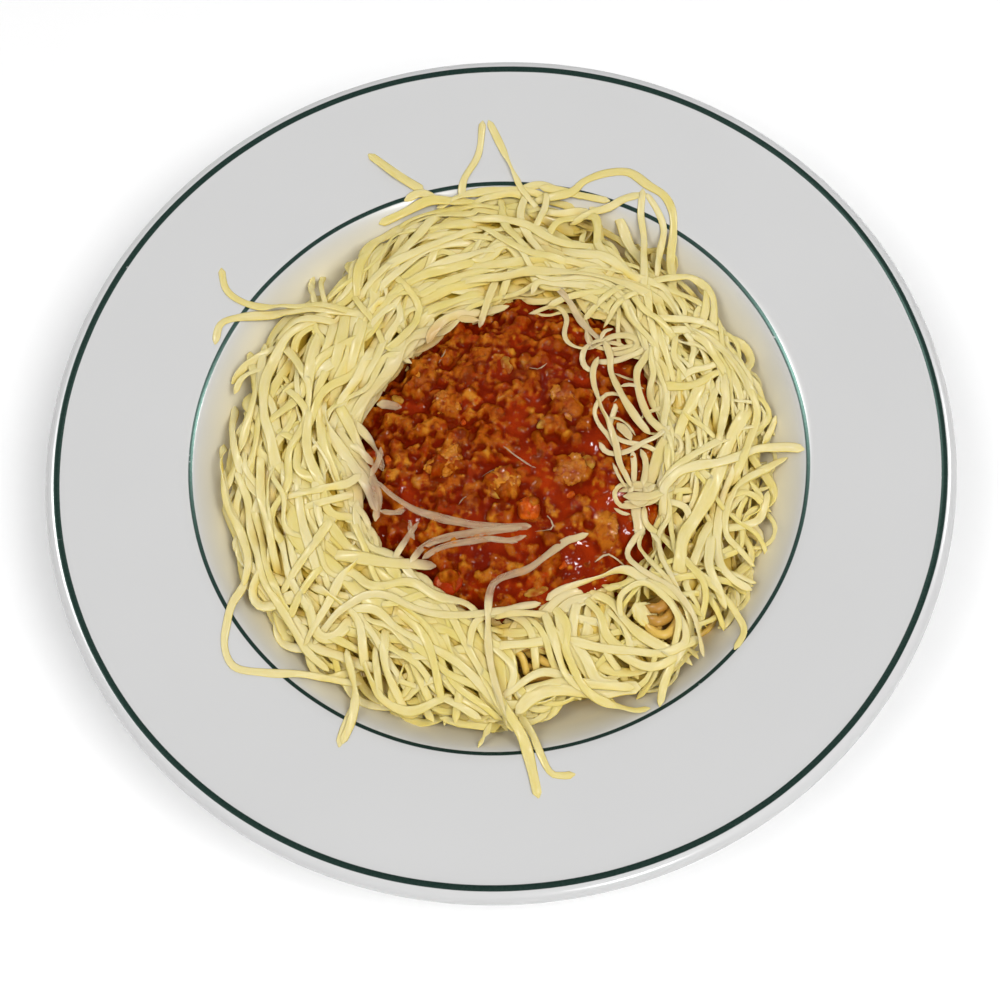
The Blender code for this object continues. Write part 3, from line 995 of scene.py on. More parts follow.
CARROT_BITS = (  # x, y, half sizes and turn
    (-25, -33, (2.8, 1.9, 1.4), 20),
    (-18, 41, (3.2, 2.4, 1.5), 30),
    (-10, 8, (2.4, 1.6, 1.2), 70),
    (22, -22, (2.0, 1.6, 1.2), 10),
    (-36, -2, (2.2, 1.5, 1.2), 100),
    (17, -44, (2.2, 1.7, 1.2), 50),
)
CELERY_BITS = (
    (6.5, 27, (2.1, 3.6, 1.6), 5),
    (29, -12, (2.2, 2.8, 1.5), 20),
    (-31, 20, (1.6, 2.4, 1.1), 60),
    (16, 3, (1.5, 2.6, 1.1), 120),
    (7, -52, (4.0, 1.5, 1.1), 10),
    (-2, -20, (2.4, 1.3, 1.0), 150),
)

carrot = gathered(
    "carrot_pieces",
    [(middle_of(CARROT[0]), *CARROT[1:], 22, 9, 0.07, 0.5)]
    + [(on_sauce(x, y, -0.1), half, turn, 10, 9, 0.1, 1.0) for x, y, half, turn in CARROT_BITS],
    vegetable_finish("carrot", (0.56, 0.11, 0.004), (0.40, 0.032, 0.002)),
)
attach(carrot, "root")
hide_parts("carrot_piece")

tomato = gathered(
    "tomato_flesh",
    [(middle_of(TOMATO[0]), *TOMATO[1:], 26, 12, 0.08, 0.4)],
    vegetable_finish("tomato", (0.42, 0.030, 0.002), (0.26, 0.014, 0.001)),
)
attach(tomato, "root")
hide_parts("tomato_piece")

celery = gathered(
    "celery_pieces",
    [(on_sauce(x, y, -0.2), half, turn, 12, 6, 0.06, 0.3) for x, y, half, turn in CELERY_BITS],
    vegetable_finish("celery", (0.44, 0.24, 0.03), (0.26, 0.09, 0.008)),
)
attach(celery, "root")

# ---------------------------------------------------------------------------------------
# The cheese: long shreds of mild yellow cheese from a coarse grater, laid in a ring on the
# spaghetti and round the sauce. The warmth has made them limp, and pale where they touch.
# ---------------------------------------------------------------------------------------

CHEESE_INNER = (48 * MM, ((1, 5 * MM, 270), (2, 7.5 * MM, 80), (3, 2 * MM, 50), (7, 1.5 * MM, 10)))
CHEESE_OUTER = (95.5 * MM, ((1, 1.5 * MM, 30), (2, 2 * MM, 71), (3, 2 * MM, 70), (11, 0.8 * MM, 5)))
CHEESE_HEIGHTS = (46 * MM, 50.5 * MM, 22 * MM)  # at the inner edge, at the crest, fall outside
CHEESE_CREST = 0.32  # how far across the ring its crest runs
DENT = (-81, 11, 6.5 * MM)  # heading and spread in degrees, and depth
CORE_DEPTH = 11 * MM
CORE_START, CORE_SPAN = 0.04, 0.82  # across the ring
CURLS = 5
SHRED_SECTION = (8, 0.8, 1.3)
SHRED_THICKNESS = 0.22  # of its width
SHRED_BEND = 9 * MM
SHRED_SINK = 0.5  # of its half thickness, since soft shreds press into each other
LEAST_STEPS = 16  # along a scattered shred's route; a shorter one isn't laid
# Where the shreds leave gaps: x, y and radius in mm.
GAPS = ((45, -66, 8), (3, -75.5, 8), (35, 79, 4.5), (51, 73, 3), (60, -30, 5), (62, -72, 5))

# The way the shreds run at some places: x and y in mm, and the heading in degrees.
FLOW = (
    (-80, 20, 85), (-80, -20, 108), (-70, -50, 120), (-65, -10, 90), (-55, 30, 60),
    (-55, -30, 135), (-45, -60, 140), (-30, -70, 130), (-30, -88, 10), (-10, -75, 110),
    (5, -88, 175), (15, -70, 100), (30, -65, 125), (30, -80, 170), (45, -65, 110),
    (50, -80, 60), (60, -60, 120), (60, -45, 50), (65, -30, 55), (75, -40, 75),
    (70, -10, 70), (85, -10, 70), (60, 10, 85), (75, 10, 75), (70, 30, 144),
    (78, 45, 130), (58, 40, 90), (60, 70, 85), (45, 70, 95), (45, 55, 160),
    (30, 60, 170), (20, 75, 125), (10, 85, 170), (0, 70, 15), (-10, 60, 20),
    (-30, 70, 50), (-35, 50, 55), (-25, 50, 100), (-60, 55, 170), (-50, 45, 65),
    (-70, 45, 45),
)


def cheese_edges(angle):
    """The ring's inner and outer radius; the outer one dents in where the heap is narrow."""
    heading, spread, depth = DENT
    dent = depth * np.exp(-(((np.degrees(angle) - heading) / spread) ** 2))
    return outline_radius(CHEESE_INNER, angle), outline_radius(CHEESE_OUTER, angle) - dent


def cheese_across(x, y):
    """How far across the ring a place is: 0 at the inner edge and 1 at the outer one."""
    inner, outer = cheese_edges(np.arctan2(y, x))
    return (np.hypot(x, y) - inner) / (outer - inner)


def cheese_top(x, y):
    """Up from the inner edge to the crest as a quarter sine, then down as a square."""
    across = np.clip(cheese_across(x, y), 0, 1)
    inner, crest, fall = CHEESE_HEIGHTS
    rise = inner + (crest - inner) * np.sin(np.pi / 2 * np.minimum(across / CHEESE_CREST, 1))
    outside = np.clip((across - CHEESE_CREST) / (1 - CHEESE_CREST), 0, 1)
    return rise - fall * outside**2


def gap_reach(x, y):
    """0 in the middle of the nearest gap in the shreds, 1 at its edge, and more beyond."""
    return np.min([np.hypot(x - a * MM, y - b * MM) / (r * MM) for a, b, r in GAPS], axis=0)


def cheese_finish():
    """Waxy pale yellow, with painted shade of a deeper yellow on the shreds' sides and between them;
    translucent where it has melted on the sauce, and tinted orange where it has soaked some up."""
    finish = Finish(
        "cheese",
        {
            "IOR": 1.38,
            "Subsurface Weight": 0.5,
            "Subsurface Radius": (0.7, 0.8, 1.0),
            "Subsurface Scale": 0.001,
            "Specular IOR Level": 0.3,
            "Coat Weight": 0.15,
            "Coat Roughness": 0.2,
        },
    )
    place = finish.place()
    cloud = finish.noise(place, 120, 3)
    grain = finish.noise(place, 1100, 2)
    tone = finish.attribute("tone")
    depth = finish.attribute("depth")
    stain = finish.attribute("stain")
    melt = finish.attribute("melt")
    streak = along_strands(finish, 900, 7)
    pale = 0.45 * tone + 0.45 * cloud + 0.5 * (streak - 0.25)
    body = finish.mix(pale.above(0.55, 0.6), (0.66, 0.54, 0.14), (0.725, 0.63, 0.325))
    # Painted shade: upright sides, which face less of the light, turn a deeper yellow, as light bounced
    # between shreds would tint them.
    side = (1 - finish.facing_up()).above(0.45, 0.6) * 0.85
    body = finish.mix(side, body, (0.80, 0.61, 0.11))
    # Painted shade: shreds buried under the surface are a deeper gold.
    body = finish.mix(depth, body, (0.65, 0.42, 0.04))
    melted = finish.mix(melt.above(0.5, 0.6), (0.77, 0.65, 0.37), (0.72, 0.52, 0.35))
    colour = finish.mix(melt * 0.85, body, melted)
    soaked = (stain + 0.4 * (cloud - 0.5)) * stain.above(0.05, 0.1)
    colour = finish.mix(soaked, colour, (0.66, 0.39, 0.10))
    # Light that scatters through soft cheese evens out its sides: the normal leans upwards.
    facing = finish.node("NewGeometry", output="Normal")
    scaled = {0: facing, 1: (0.55, 0.55, 0.55), 2: (0, 0, 0.45)}
    lifted = finish.node("VectorMath", {"operation": "MULTIPLY_ADD"}, scaled)
    lifted = finish.node("VectorMath", {"operation": "NORMALIZE"}, {0: lifted})
    skin = finish.bump(streak * 0.8 + grain * 0.2, 0.22 * MM, 0.8, lifted)
    rough = 0.36 + 0.2 * grain - 0.16 * melt
    clear = 0.25 * melt + (0.3 + 0.4 * streak) * melt.above(0.7, 0.3)
    return finish.vary(Base_Color=colour, Roughness=rough, Normal=skin, Alpha=1 - clear)


def ring_core(name, finish):
    """What fills the ring out of sight: round angle, and up over the top then back beneath.
    It stays CORE_DEPTH under the shreds' mean top, pits down to the heap or plate at each gap,
    and draws in at a gap on the ring's outer edge."""
    around, over = 300, 36
    angle = np.linspace(-np.pi, np.pi, around, endpoint=False)[:, None]
    inner, outer = cheese_edges(angle)
    near_edge = 0.15 * inner + 0.85 * outer
    gap = gap_reach(near_edge * np.cos(angle), near_edge * np.sin(angle))
    span = CORE_SPAN - 0.3 * np.clip(1.8 - gap, 0, 1)
    across = np.linspace(0, 1, over)[None, :] * span + CORE_START
    radius = inner + (outer - inner) * across
    x, y = radius * np.cos(angle), radius * np.sin(angle)
    beneath = np.maximum(spaghetti_top(x, y) - 7 * MM, 0) * (radius < 80 * MM)
    beneath = np.maximum(beneath, plate_top(radius) + 0.3 * MM)
    rise = cheese_top(x, y) - CORE_DEPTH + 0.9 * MM * wave_sum(x, y, 8 * MM, 31) - beneath
    edge = np.sqrt(np.clip(1 - (np.abs((across - CORE_START) / span - 0.5) / 0.51) ** 6, 0, 1))
    pit = np.clip(gap_reach(x, y) - 1.2, 0, 1) * np.clip(past_pool(x, y) / (7 * MM) - 0.2, 0, 1)
    top = beneath + 0.4 * MM + np.maximum(rise, 0) * edge * pit
    sheet = np.stack([x, y, top], -1)
    lower = np.stack([x, y, beneath], -1)[:, ::-1]
    rings = np.concatenate([sheet, lower], axis=1)
    count = 2 * over
    index = np.arange(around * count).reshape(around, count)
    ahead, next_over = np.roll(index, -1, axis=0), np.roll(index, -1, axis=1)
    quads = np.stack([index, next_over, np.roll(ahead, -1, axis=1), ahead], -1).reshape(-1, 4)
    flat = 0 * rings[..., 0].ravel()
    # The core's depth of 0.7 paints it with the deeper gold of shaded shreds.
    marks = {
        "tone": flat + 0.3,
        "depth": flat + 0.7,
        "melt": flat,
        "stain": near_sauce(rings.reshape(-1, 3)) * 0.5,
        "grain_across": rings[..., 0].ravel(),
        "grain_along": 3 * rings[..., 1].ravel(),
    }
    return solid(name, rings.reshape(-1, 3), quads.tolist(), finish, marks), (x, y, top)


def near_sauce(points):
    """How much sauce a shred can take up: all of it over the sauce and none 9 mm outside, and
    most on the far side, where the sauce was poured against the shreds."""
    x, y = points[:, 0], points[:, 1]
    far = 0.3 + 0.7 * np.clip(1 - np.abs(np.degrees(np.arctan2(y, x)) - 112) / 32, 0, 1)
    return far * np.clip(1 - past_pool(x, y) / (9 * MM), 0, 1)


def cheese_steer(place, heading):
    """The heading that the shreds near a place share, bent away from edges and gaps. It is the
    mean of FLOW's doubled angles, halved, since a shred runs both ways, each weighed by
    1 / (distance^2 + (7 mm)^2)^2."""
    flow = np.array(FLOW, dtype=float)
    apart = np.linalg.norm(place[:, None, :] - flow[None, :, :2] * MM, axis=2)
    weight = 1 / (apart**2 + (7 * MM) ** 2) ** 2
    double = 2 * np.radians(flow[:, 2])
    angle = np.arctan2(weight @ np.sin(double), weight @ np.cos(double)) / 2
    angle = angle + np.pi * (np.cos(heading - angle) < 0)
    way = np.c_[np.cos(angle), np.sin(angle)]
    distance = np.hypot(*place.T)[:, None]
    outward = place / np.maximum(distance, 1 * MM)
    across = cheese_across(*place.T)[:, None]
    inside = np.clip(1 - past_pool(*place.T)[:, None] / (4 * MM), 0, 1.5)
    way += outward * (2.2 * inside - 3.0 * np.clip((across - 0.84) / 0.14, 0, 1.5))
    for x, y, radius in GAPS:
        away = place - np.array([x, y]) * MM
        near = np.hypot(*away.T)[:, None] / (radius * MM)
        way += 2 * away / np.hypot(*away.T)[:, None] * np.clip(1.7 - near, 0, 1)
    return np.arctan2(way[:, 1], way[:, 0])


def scattered_shreds(bed, batches, seed, below, above, tangle, width, right):
    """Shreds started where the ring is still lowest, batch after batch, until it is full to
    below under its mean top. Each ends where it leaves the ring or would climb to more than
    above that top. Their headings spread by tangle, their widths vary round width in mm, and
    right scales the share of those that start on the right."""
    draw = np.random.default_rng(seed)
    strands = Strands(bed, *SHRED_SECTION)
    x, y = bed.x.ravel(), bed.y.ravel()
    wanted = cheese_top(x, y) - below
    in_ring = (past_pool(x, y) >= 3 * MM) & (cheese_across(x, y) < 0.985)
    cells = np.flatnonzero(in_ring & (gap_reach(x, y) > 1.25))
    for batch in range(batches):
        short = np.clip((wanted - bed.height.ravel())[cells], 0, 5 * MM) ** 2
        short *= np.where(x[cells] > 32 * MM, right, 1)
        picked = draw.choice(cells, BATCH, p=short / short.sum())
        starts = np.c_[x[picked], y[picked]]
        length = draw.uniform(50, 130, BATCH) * MM
        heading = draw.uniform(0, 2 * np.pi, BATCH)
        near_right = starts[:, 0] > 0.2 * starts[:, 1]
        astray = draw.normal(0, 1, BATCH) * tangle * (1 + 0.5 * near_right)

        def steer(place, now, astray=astray):
            return cheese_steer(place, now) + astray

        for route in turning_routes(starts, draw, length, steer(starts, heading), steer, 1.9 * MM):
            usual = width * (1 - 0.18 * np.clip(route[0, 0] / (50 * MM), -1, 1))
            wide = np.clip(np.exp(draw.normal(np.log(usual), 0.3)), 1.2, 5) * MM
            outside = (cheese_across(*route.T) > 1.01) | (past_pool(*route.T) < 0)
            outside |= bed.at(*route.T) - cheese_top(*route.T) > above
            outside |= gap_reach(*route.T) < 0.8
            limit = np.argmax(outside) if outside.any() else len(route)
            if limit < LEAST_STEPS:
                continue
            strands.lay(
                route[:limit],
                wide,
                SHRED_THICKNESS * wide,
                SHRED_BEND,
                draw.uniform(1, 2.5) * MM,
                draw,
                dip=(3 * MM, 3 * MM),
                sink=SHRED_SINK,
                tone=draw.uniform(),
                melt=0.0,
                soak=draw.uniform() ** 2,
            )
    return strands


def curled_shreds(bed):
    """Limp thin shreds that hang over the sauce on the right: each meanders, its heading a
    sine of the length along it, about the direction of the ring."""
    draw = np.random.default_rng(81)
    strands = Strands(bed, *SHRED_SECTION)
    for curl in range(CURLS):
        angle = np.radians(draw.uniform(-42, 52))
        radius = pool_reach(angle) - draw.uniform(-5, 9) * MM
        length, swing = draw.uniform(26, 60) * MM, draw.uniform(0.7, 1.9)
        period = draw.uniform(24, 46) * MM
        along = np.arange(0, length, 1.5 * MM)
        course = angle + np.pi / 2 + draw.normal(0, 0.5)
        course = course + swing * np.sin(2 * np.pi * along / period + draw.uniform(0, 6))
        route = np.cumsum(np.c_[np.cos(course), np.sin(course)], axis=0) * 1.5 * MM
        route += radius * np.array([np.cos(angle), np.sin(angle)]) - route.mean(axis=0)
        width = draw.uniform(1.4, 2.3) * MM
        strands.lay(
            route,
            width,
            0.3 * width,
            SHRED_BEND,
            draw.uniform(1, 3) * MM,
            draw,
            dip=(1 * MM, 1 * MM),
            tone=draw.uniform(0.5, 1),
            melt=draw.uniform(0.1, 0.4),
            soak=0.2,
        )
    return strands


cheese_look = cheese_finish()
cheese_core, core_sheet = ring_core("cheese_core", cheese_look)
bed.raise_to(*(sheet.ravel() for sheet in core_sheet))
bed.raise_to(*(0.5 * (np.roll(sheet, -1, axis=0) + sheet).ravel() for sheet in core_sheet))

# The shreds that lie on top. Each is its width in mm, how much it has melted, how much it is
# stained, and then x and y in mm of the places it passes, as they look from the diner's seat on
# a level sheet at SHEET_HEIGHT.
TOP_SHREDS = (
    # far left, over the edge of the well
    (2.8, 0, 0, -57, 71, -58, 66, -57, 61),
    (2.4, 0, 0, -54, 70, -54, 65, -53, 60),
    (4.2, 0, 0, -15, 100, -23, 107, -33, 117),
    (4.0, 0, 0, -22, 97, -16, 99, -10, 95),
    (3.4, 0, 0, -48, 60, -44, 63, -42, 70),
    (3.6, 0, 0, -41, 62, -40, 70, -37, 76),
    (4.5, 0, 0, -41, 62, -37, 76, -28, 85, -15, 89, 0, 88, 5, 89, 20, 84),
    (4.0, 0, 0, -38, 62, -30, 70, -20, 79, -13, 87),
    (4.2, 0, 0, -36, 60, -33, 66, -24, 76, -12, 83, 2, 84),
    (3.6, 0, 0, -30, 70, -20, 74, -10, 77, 0, 80),
    (3.8, 0, 0, -33, 62, -20, 72, -12, 75, -2, 76),
    (3.2, 0, 0, -24, 62, -12, 68, 0, 71, 8, 72),
    (3.4, 0, 0, -16, 80, -6, 79, 6, 77),
    (3.6, 0, 0, -30, 58, -22, 63, -12, 66, 0, 68),
    (3.0, 0, 0, -37, 52, -34, 56, -30, 58),
    (3.0, 0, 0, -38, 47, -33, 52, -28, 55),
    (3.6, 0, 0, -34, 48, -30, 53, -26, 60),
    (3.4, 0, 0, -20, 57, -8, 62, 5, 65),
    (3.8, 0, 0.15, -22, 53, -10, 58, 4, 61),
    (4.2, 0, 0.25, -20, 50, -10, 53, 0, 56),
    (4.2, 0, 0.45, -22, 45, -17, 49, -9, 52, 0, 53),
    (3.6, 0.2, 0.5, -19, 38, -16, 43, -11, 47, -4, 49),
    (3.4, 0.3, 0.55, -8, 46, -4, 45, -1, 44),
    (3.0, 0, 0.2, -27, 65, -22, 57, -21, 50, -26, 42, -33, 38),
    (3.0, 0, 0.15, -29, 46, -27, 41, -30, 37),
    (4.2, 0, 0, -52, 54, -62, 50, -70, 42, -75, 32, -76, 20, -74, 10, -73, 0),
    (3.8, 0, 0, -56, 50, -62, 46, -66, 38, -72, 30, -78, 18, -80, 8, -84, -3),
    (3.6, 0, 0, -66, 50, -60, 53, -50, 51),
    (3.4, 0, 0, -70, 46, -64, 50, -56, 52),
    (3.6, 0, 0, -66, 42, -62, 34, -60, 26, -62, 18),
    (3.8, 0, 0, -57, 45, -60, 38, -65, 28, -68, 18),
    (4.5, 0, 0, -60, 30, -57, 40, -55, 46),
    (4.4, 0, 0, -55, 34, -52, 42, -50, 50),
    (4.6, 0, 0, -51, 33, -48, 42, -46, 52),
    (4.5, 0, 0, -59, 31, -50, 36, -47, 42, -41, 55),
    (4.6, 0, 0, -46, 32, -43, 40, -40, 50),
    (4.8, 0, 0, -53, 20, -50, 28, -46, 36, -43, 44),
    (4.6, 0, 0, -50, 19, -46, 25, -41, 32, -38, 38),
    (5.0, 0, 0.05, -45, 15, -42, 20, -35, 28),
    (4.4, 0, 0.1, -41, 29, -37, 34, -34, 41),
    (4.0, 0, 0, -81, 44, -79, 30, -83, 15, -88, 0, -92, -8),
    (3.4, 0, 0, -88, 25, -88, 12, -85, 0),
    (3.2, 0, 0, -88, 33, -80, 40, -72, 44),
    (3.0, 0, 0, -87, 28, -83, 34, -77, 37),
    (3.6, 0, 0, -76, 42, -77, 30, -73, 22, -72, 12),
    (3.0, 0, 0, -67, 27, -62, 20, -64, 12, -69, 6),
    (3.0, 0, 0, -70, 24, -67, 28, -62, 30),
    (3.6, 0, 0, -60, 20, -62, 5, -58, -8),
    (3.8, 0, 0, -57, 22, -57, 8, -54, -4, -52, -14),
    (4.0, 0, 0, -50, 18, -47, 10, -44, 0),
    (3.2, 0.2, 0, -46, 12, -42, 6, -40, 2, -38, -6),
    (3.4, 0, 0, -48, 6, -44, 1, -41, -4),
    (2.6, 0, 0, -42, 60, -41, 57, -36, 48, -33, 39, -29, 36),
    (3.2, 0, 0, -44, 54, -55, 58, -66, 59, -76, 61, -83, 65, -87, 70, -88, 78),
    (3.4, 0, 0, -40, 52, -52, 55.5, -65, 56.5, -75, 57.5, -85, 58, -90, 56, -92, 49),
    # left and near left
    (3.2, 0, 0, -92, 10, -92, 0, -91, -12, -87, -22, -85, -32, -87, -40),
    (3.0, 0, 0, -70, 0, -71, -15, -70, -30, -68, -40),
    (3.4, 0, 0, -78, 5, -79, -8, -77, -22, -76, -34),
    (3.2, 0, 0, -74, -4, -76, -16, -73, -28, -71, -40, -66, -50),
    (3.6, 0, 0, -66, -4, -66, -16, -64, -28, -62, -38),
    (3.2, 0, 0, -60, -6, -60, -18, -57, -28),
    (3.0, 0, 0, -82, -14, -80, -26, -78, -38, -73, -50),
    (3.2, 0, 0, -87, 0, -84, -10, -84, -20, -82, -30, -80, -40, -76, -48, -72, -57, -68, -65, -62, -72),
    (3.4, 0, 0, -68, -10, -60, -10, -50, -9, -45, -6),
    (3.0, 0, 0, -64, -15, -56, -14, -48, -12),
    (3.4, 0, 0, -72, -40, -62, -28, -56, -20),
    (3.2, 0, 0, -70, -48, -64, -40, -58, -34),
    (3.4, 0, 0, -66, -58, -60, -50, -55, -42, -49, -36),
    (3.2, 0, 0, -60, -60, -52, -66, -45, -70, -38, -72),
    (3.2, 0, 0, -55, -70, -54, -80, -55, -88, -59, -96),
    (3.4, 0, 0, -50, -70, -48, -80, -44, -86, -35, -88, -28, -86),
    (3.0, 0, 0, -46, -70, -46, -80),
    (3.2, 0, 0, -38, -70, -35, -76, -37, -80),
    (3.4, 0, 0, -42, -62, -43, -72, -40, -82),
    (3.2, 0, 0, -33, -62, -34, -72, -31, -82),
    (3.4, 0, 0, -62, -44, -55, -50, -50, -58, -50, -68),
    (3.2, 0, 0, -50, -50, -47, -60, -42, -68, -35, -70, -20, -71),
    (3.2, 0, 0, -52, -52, -45, -53, -38, -60, -30, -66, -22, -72, -15, -80, -10, -88),
    (3.4, 0, 0, -45, -49, -37, -52, -30, -58, -25, -58),
    (3.2, 0, 0, -36, -56, -31, -62, -28, -70, -27, -80),
    (3.0, 0, 0, -28, -90, -20, -94, -12, -96),
    (3.0, 0, 0, -25, -85, -15, -92),
    (3.2, 0, 0, -24, -62, -22, -70, -20, -80, -22, -88),
    (3.0, 0, 0, -20, -59, -17, -68, -13, -78, -9, -88, -6, -94),
    (3.0, 0, 0, -92, 0, -91, -12, -87, -22, -85, -32, -87, -40, -91, -46, -93, -52, -94, -60, -91,
     -67, -82, -70, -70, -73, -60, -76, -52, -78),
    (3.0, 0, 0, -16, -70, -14, -63, -8, -61, 0, -62, 4, -68, 4, -76),
    (3.2, 0, 0, -47, -15, -48, -22, -46, -30, -42, -33),
    (3.0, 0.2, 0, -49, -16, -46, -20, -44, -26),
    (4.4, 0.1, 0, -58, -20, -50, -33, -42, -36),
    (2.8, 0.6, 0, -40, -21, -36, -22, -32, -21),
    (3.2, 0.3, 0, -52, 12, -45, -2, -40, -15, -42, -24),
    (2.2, 0.5, 0, -37, -37, -33, -31, -28, -25),
    (2.0, 0.6, 0, -31, -24, -31, -28, -30, -31),
    (4.5, 0.15, 0, -55, -33, -45, -36, -35, -39, -24, -41),
    (4.2, 0.1, 0, -56, 20, -54, 10, -49, 0, -44, -10, -41, -20),
    (3.0, 0.2, 0, -62, -58, -55, -52, -47, -48, -40, -49, -32, -54, -24, -57, -12, -59, 0, -59, 8, -58),
    (3.0, 0.1, 0, -28, -52, -22, -54, -17, -55),
    (3.0, 0.7, 0, -40, -10, -35, -16, -27, -22, -15, -27, -3, -30, 8, -31),
    (2.4, 0.6, 0, -28, -38, -22, -35, -14, -34, -4, -34, 3, -36),
    (3.0, 0.45, 0, -32, -39, -27, -34, -20, -32, -8, -31, 5, -31),
    (2.4, 0.6, 0, -8, -33, 0, -35, 6, -34),
    (3.2, 0.5, 0, -38, 19, -35, 18.5, -30, 16.5),
    (2.6, 0.4, 0, -38, 3, -39, -2, -42, -8),
    # near side
    (2.6, 0.3, 0.7, -3, -60.5, 3, -61.2, 10, -62),
    (3.4, 0.1, 0, -4, -66, 1, -67, 7, -66),
    (3.6, 0, 0, -5, -70, 1, -70.5, 8, -70),
    (2.6, 0, 0, 0, -61, 5, -64, 8, -70, 9, -76, 11, -82, 14, -86),
    (3.8, 0, 0, -8, -88, -5, -97, -2, -105, 0, -120),
    (2.6, 0, 0, -54, -84, -58, -91, -60, -97),
    (2.6, 0, 0, -12, -95, -15, -100, -17, -103),
    (2.8, 0, 0, -3, -94, 0, -100, 4, -112, 8, -114, 12, -114),
    (3.2, 0, 0, -14, -76, -10, -82, -7, -92),
    (5.0, 0, 0, -4, -93, 2, -89, 10, -87.5, 18, -88.5, 26, -91, 36, -93),
    (3.4, 0, 0, 2, -86, 10, -85, 22, -87, 34, -89),
    (3.2, 0, 0, -6, -86, 4, -84, 14, -85, 24, -86),
    (3.4, 0, 0, 9, -62, 11, -72, 13, -82, 18, -88),
    (3.2, 0, 0, 14, -58, 13, -66, 16, -76, 21, -84),
    (3.4, 0, 0, 12, -60, 15, -66, 14, -75, 17, -85, 22, -91, 32, -97, 38, -97),
    (4.0, 0, 0, 20, -60, 17, -70, 20, -78, 23, -86, 30, -88),
    (3.2, 0, 0, 28, -74, 34, -80, 42, -83, 48, -80),
    (3.4, 0, 0, 41, -97, 45, -86, 52, -75),
    (3.5, 0, 0, 15, -71, 25, -75, 35, -77, 45, -79, 52, -76),
    (3.4, 0, 0.1, 22, -58, 26, -64, 28, -72, 34, -78),
    (4.0, 0, 0, 25, -57, 30, -60, 34, -67, 40, -74, 46, -78),
    (3.5, 0.1, 0.1, 10, -57, 16, -54, 25, -52, 35, -51, 40, -53, 46, -58, 50, -66, 52, -75, 48, -80),
    (4.0, 0.3, 0, 11, -60, 15, -57, 21, -56),
    (3.8, 0.3, 0, 14, -62, 18, -59, 24, -58),
    (3.0, 0.4, 0, 26, -36, 22, -37, 18, -38, 10, -43, 5, -46, 0, -47, -4, -48, -7, -51, -9, -60,
     -10, -75, -8, -90),
    # near right
    (3.2, 0, 0, 75, -30, 80, -26, 88, -22, 96, -19),
    (3.2, 0, 0, 88, -12, 92, -7, 95, -2),
    (3.2, 0, 0, 88, -30, 85, -37, 80, -41, 71, -40),
    (2.6, 0, 0, 56, -8, 55, -14, 55, -20, 54, -26),
    (2.4, 0, 0, 62, -25, 58, -25.5, 53, -24.5),
    (2.6, 0, 0, 65, -19, 68, -22, 68, -26, 65, -30, 62, -36),
    (2.8, 0, 0, 64, -20, 63, -26, 61, -31, 58, -37),
    (2.6, 0.2, 0, 53, -29, 57, -31, 59.5, -34, 60, -38),
    (3.2, 0, 0, 68, -36, 64, -41, 61, -46, 58, -51),
    (3.6, 0, 0, 66, -42, 64, -48, 63, -54, 65, -61),
    (3.0, 0, 0, 70, -56, 74, -59, 78, -61),
    (2.8, 0, 0, 56, -49, 58, -53, 60, -57, 60, -63, 58, -68),
    (3.4, 0, 0, 83, -10, 77, -20, 72, -29, 69, -38, 67, -46, 67, -53, 70, -58, 76, -62),
    (2.8, 0, 0, 86, -22, 79, -25, 75, -29, 72, -35, 71, -42, 73, -47, 76, -51),
    (2.6, 0, 0, 74, -30, 79, -29, 84, -33),
    (5.6, 0, 0, 54, -50, 56, -43, 61, -36, 66, -29, 71, -21, 75, -14, 79, -7, 84, 0),
    (2.6, 0.3, 0, 44, -9, 44, -14, 43, -21),
    (2.6, 0.2, 0, 47, -9, 48, -14, 46, -22),
    (5.0, 0.1, 0, 58, -3, 54, -10, 51, -16, 48, -21, 45, -25),
    (3.4, 0, 0, 76, -8, 69, -11, 62, -14, 56, -18, 51, -24),
    (4.6, 0.5, 0, 42.5, -28, 43, -34, 42.5, -40),
    (3.8, 0, 0, 51.5, -30, 52, -25, 55, -21, 59, -18, 65, -17, 72, -17, 85, -15, 96, -16, 101, -17),
    (2.0, 0.4, 0, 51, -27, 51.5, -32, 53, -36, 56.5, -40),
    (2.4, 0.4, 0, 44.5, -37, 41, -40, 38, -44, 38, -47.5, 41, -51, 45, -54, 49, -57, 52, -61, 55,
     -68, 56, -75, 57, -84),
    (2.2, 0.3, 0, 44, -38, 42, -42, 42.5, -46, 45, -50, 48, -54, 50.5, -58),
    (2.0, 0.3, 0, 46, -38, 48, -42, 48, -47, 49.5, -52, 51, -57),
    (2.8, 0.1, 0, 45.5, -29, 45, -34, 46, -37, 49, -41, 52, -46, 56, -51.5, 61, -57, 65, -63, 70,
     -71, 71, -76, 67, -81),
    (2.4, 0, 0, 33, -66, 33, -60, 36, -56.5, 41, -55, 46, -59, 49, -64, 50, -70, 48, -76),
    (3.0, 0.1, 0, 41, -54, 45, -56, 50, -61, 53, -67, 54, -74),
    (3.2, 0.4, 0, 38, -28, 42, -28.5, 47, -28, 51, -27),
    (3.0, 0.3, 0, 38, -23, 43, -22.5, 48, -24, 51, -27),
    (2.8, 0.3, 0, 39, -27, 43, -26.5, 47, -24, 50, -22),
    (2.6, 0.3, 0, 41, -24, 45, -27, 49, -28),
    (2.4, 0.3, 0, 43, -21, 41, -25, 43, -28, 47, -26, 46, -22),
    (3.4, 0.3, 0, 40, -21, 45, -21.5, 50, -23.5, 52, -26),
    (3.6, 0.3, 0, 39, -25, 44, -25.5, 49, -25.5, 52, -24),
    (2.0, 0.4, 0, 42, -21, 38.5, -21, 36.3, -23.5, 37, -27, 39.5, -28.5, 41.5, -26),
    (1.3, 0.5, 0, 35.5, -28.5, 38, -30.5, 40.5, -31),
    (1.2, 0.5, 0, 37, -13, 38.5, -18, 40.5, -22),
    # far side
